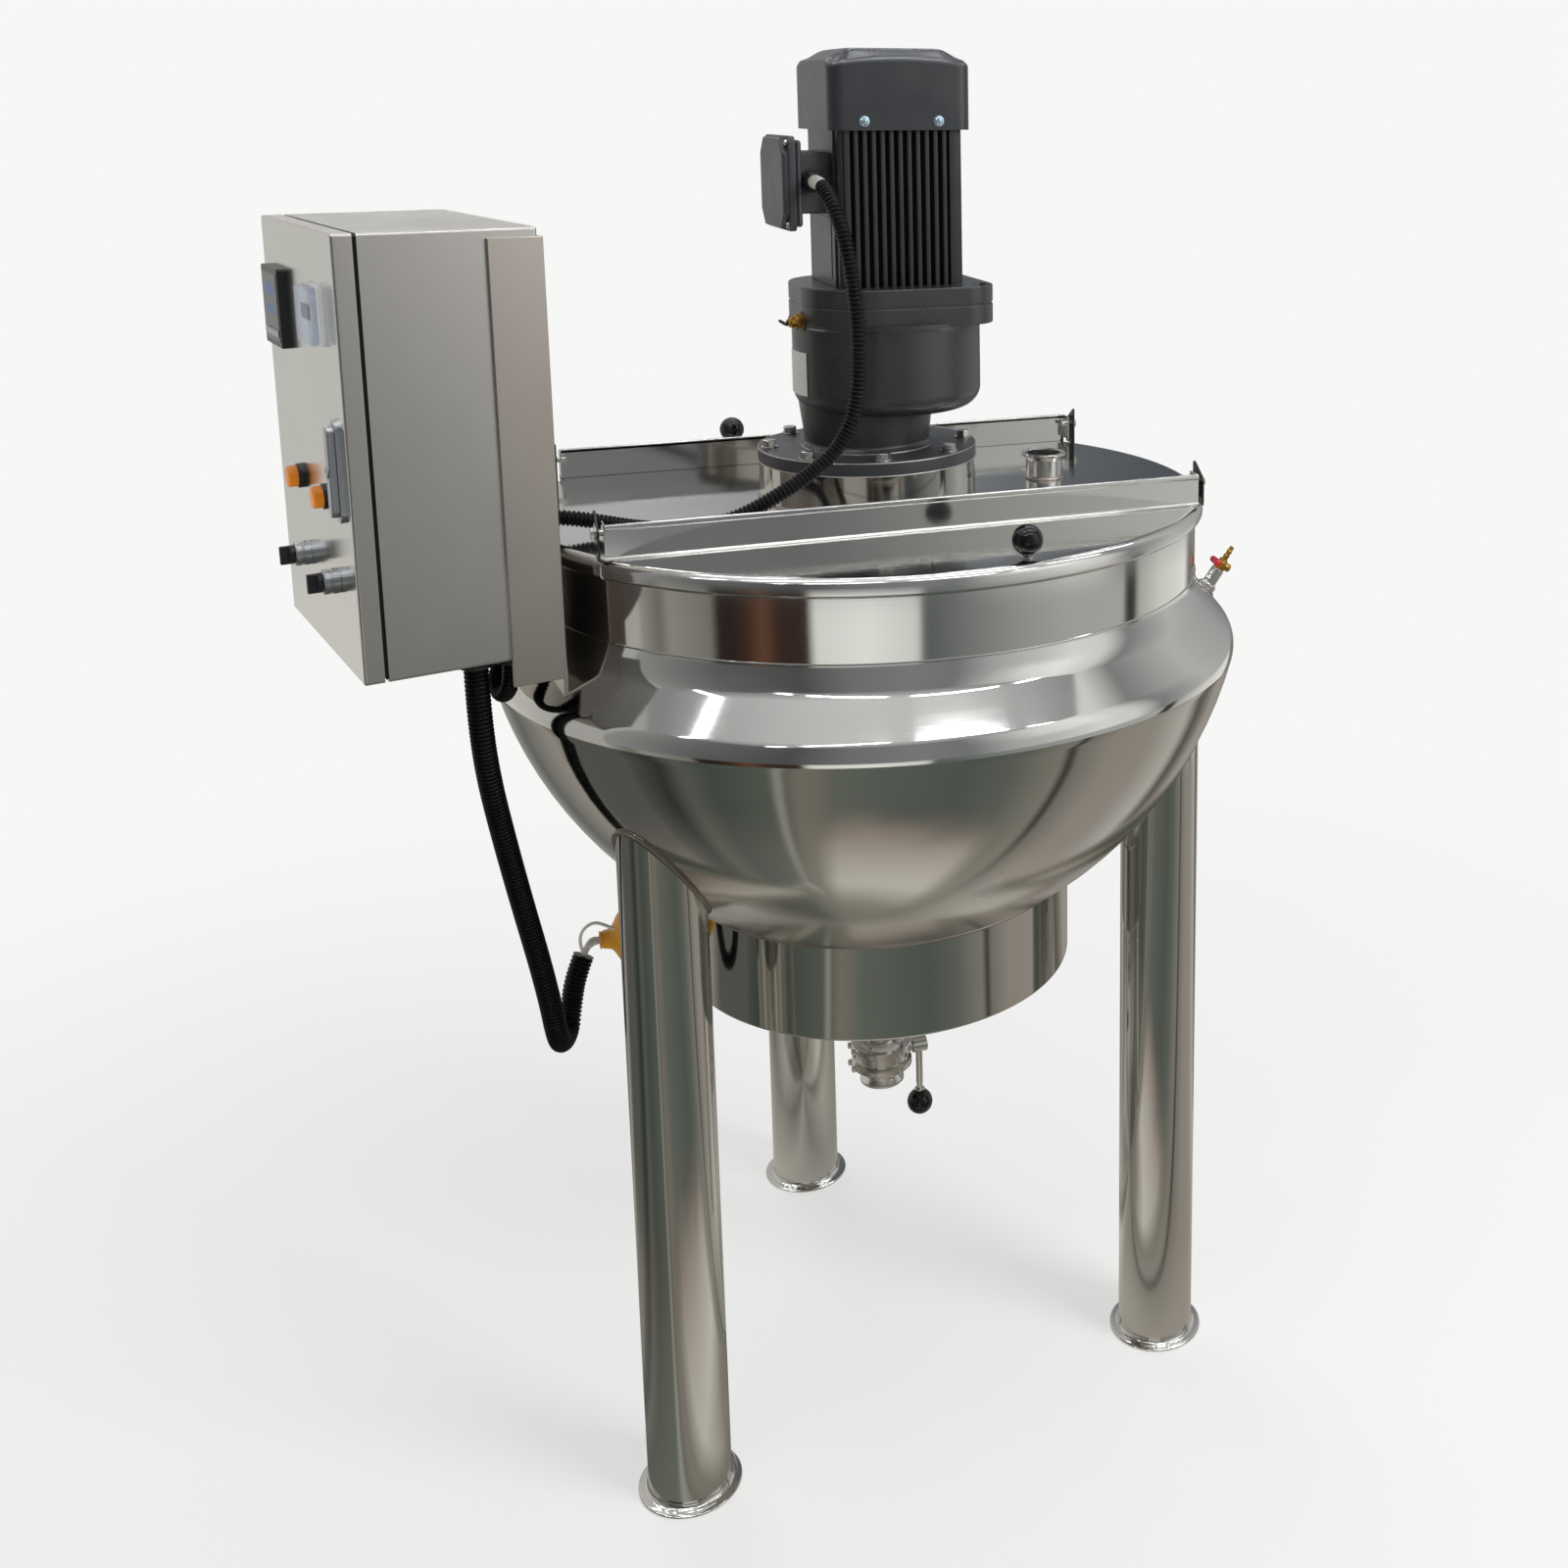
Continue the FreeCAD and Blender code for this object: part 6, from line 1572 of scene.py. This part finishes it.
def makeCock():
    place = leanedCock()
    base = turned((0, -0.010), [(0.0128, -0.010), (0.0130, 0.0070), (0.0118, 0.0090), (0.0096, 0.0100),
                                (0.0095, 0.0330), (0.0088, 0.0340), (0, 0.0340)], 48)
    tube = finishPiece("cockBoss", base, "fittingSteel", "kettle", place, 40)
    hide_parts("vent_cock")
    bead = curveMesh("cockBead", [Vector((0.0135 * math.cos(t), 0.0135 * math.sin(t),
                                          -0.0135 * math.cos(t) * math.tan(math.radians(16.4)) + 0.0006))
                                  for t in [math.tau * i / 32 for i in range(32)]], 0.0022, True, 10)
    finishPiece("cockWeld", bead, "weldSteel", "kettle", place)
    brass = hexHead(0.0155, 0.0050, {"radius": 0.0082, "thick": 0.0008})
    bmesh.ops.translate(brass, vec=(0, 0, 0.0342), verts=brass.verts)
    joinInto(brass, turned((0, 0.038), [(0.0070, 0.038), (0.0078, 0.0400), (0.0078, 0.0440),
                                        (0.0066, 0.0468),
                                        (0.0060, 0.0500), (0.0042, 0.0510), (0.0040, 0.0545),
                                        (0.0046, 0.0560),
                                        (0.0046, 0.0570), (0.0036, 0.0580), (0.0036, 0.0615),
                                        (0.0045, 0.0630),
                                        (0.0045, 0.0640), (0.0034, 0.0655), (0.0034, 0.0690),
                                        (0.0030, 0.0715),
                                        (0.0020, 0.0720), (0.0018, 0.0700), (0, 0.0700)], 36))
    joinInto(brass, hexHead(0.0105, 0.0042, {"radius": 0.0060, "thick": 0.0102}),
             along((0, 0, 0.042), (1, 0, 0)))
    joinInto(brass, turned((0, 0), [(0.0040, 0), (0.0040, 0.0108), (0, 0.0108)], 24),
             along((0, 0, 0.042), (-1, 0, 0)))
    finishPiece("cockBrass", brass, "turnedBrass", "kettle", place, 40)


def makeCockHandle():
    place = leanedCock()
    # red tap handle: a grip that widens outwards, riveted to the spindle
    grip = roundedPlate(-0.0045, 0.0045, -0.0255, 0.0045, 0, 0.0058, (0.0040, 0.0040, 0.0040, 0.0040), 6)
    for vert in grip.verts:
        if vert.co.y < -0.012:
            vert.co.x *= 1.12
    easeEdges(grip, 0.0012, 40, 3)
    joinInto(grip, turned((0, 0.0058), [(0.0036, 0.0058), (0.0030, 0.0070), (0, 0.0072)], 24))
    turn = along((-0.0114, 0, 0.042), (-1, 0, 0))
    axes = turn.to_3x3()
    # keep the grip lying along the leaned -Y direction
    best = min((math.radians(a) for a in range(0, 360, 90)),
               key=lambda a: (axes @ (Matrix.Rotation(a, 3, "Z") @ Vector((0, -1, 0)))).y)
    handle = finishPiece("cockHandle", grip, "tapPlastic", "vent_handle",
                         place @ turn @ Matrix.Rotation(best, 4, "Z"), 40)
    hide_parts("vent_handle")


def makeHeaterTerminal():
    # steel tube on the drum under a yellow rubber boot with a ribbed mouth
    tube = turned((0, 0), [(0.024, 0), (0.024, 0.075), (0.0228, 0.078), (0, 0.078)], 56)
    terminal = finishPiece("terminalTube", tube, "fittingSteel", "kettle",
                           kettleAxis @ along((-0.272, 0, 0.676), (-1, 0, 0)))
    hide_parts("heater_terminal")
    boot = turned((0.0245, 0), [
        (0.0365, 0), (0.0370, 0.0008), (0.0370, 0.0050), (0.0352, 0.0062), (0.0352, 0.0085),
        (0.0368, 0.0100),
        (0.0362, 0.0240), (0.0345, 0.0300), (0.0290, 0.0350), (0.0200, 0.0400), (0.0150, 0.0440),
        (0.0135, 0.0480),
        (0.0125, 0.0520), (0.0125, 0.0545), (0.0112, 0.0550), (0.0112, 0.0575), (0.0120, 0.0582),
        (0.0120, 0.0592),
        (0.0085, 0.0596), (0.0080, 0.0560), (0, 0.0560),
    ], 72)
    bmesh.ops.holes_fill(boot, edges=[e for e in boot.edges if e.is_boundary], sides=0)
    piece = finishPiece("terminalBoot", boot, "bootRubber", "kettle",
                        kettleAxis @ along((-0.330, 0, 0.676), (-1, 0, 0)), 50)
    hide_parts("heater_boot")


makeOutlet()
makeOutletLever()
makeCock()
makeCockHandle()
makeHeaterTerminal()
print("outlet, cock and heater terminal made")


plainNodes = {"agitator_shaft": "fittingSteel", "agitator_anchor": "fittingSteel",
              "mounting_panel": "galvanisedSheet"}
for nodeName, finish in plainNodes.items():
    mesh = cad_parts[nodeName].data
    mesh.materials.clear()
    mesh.materials.append(materials[finish])
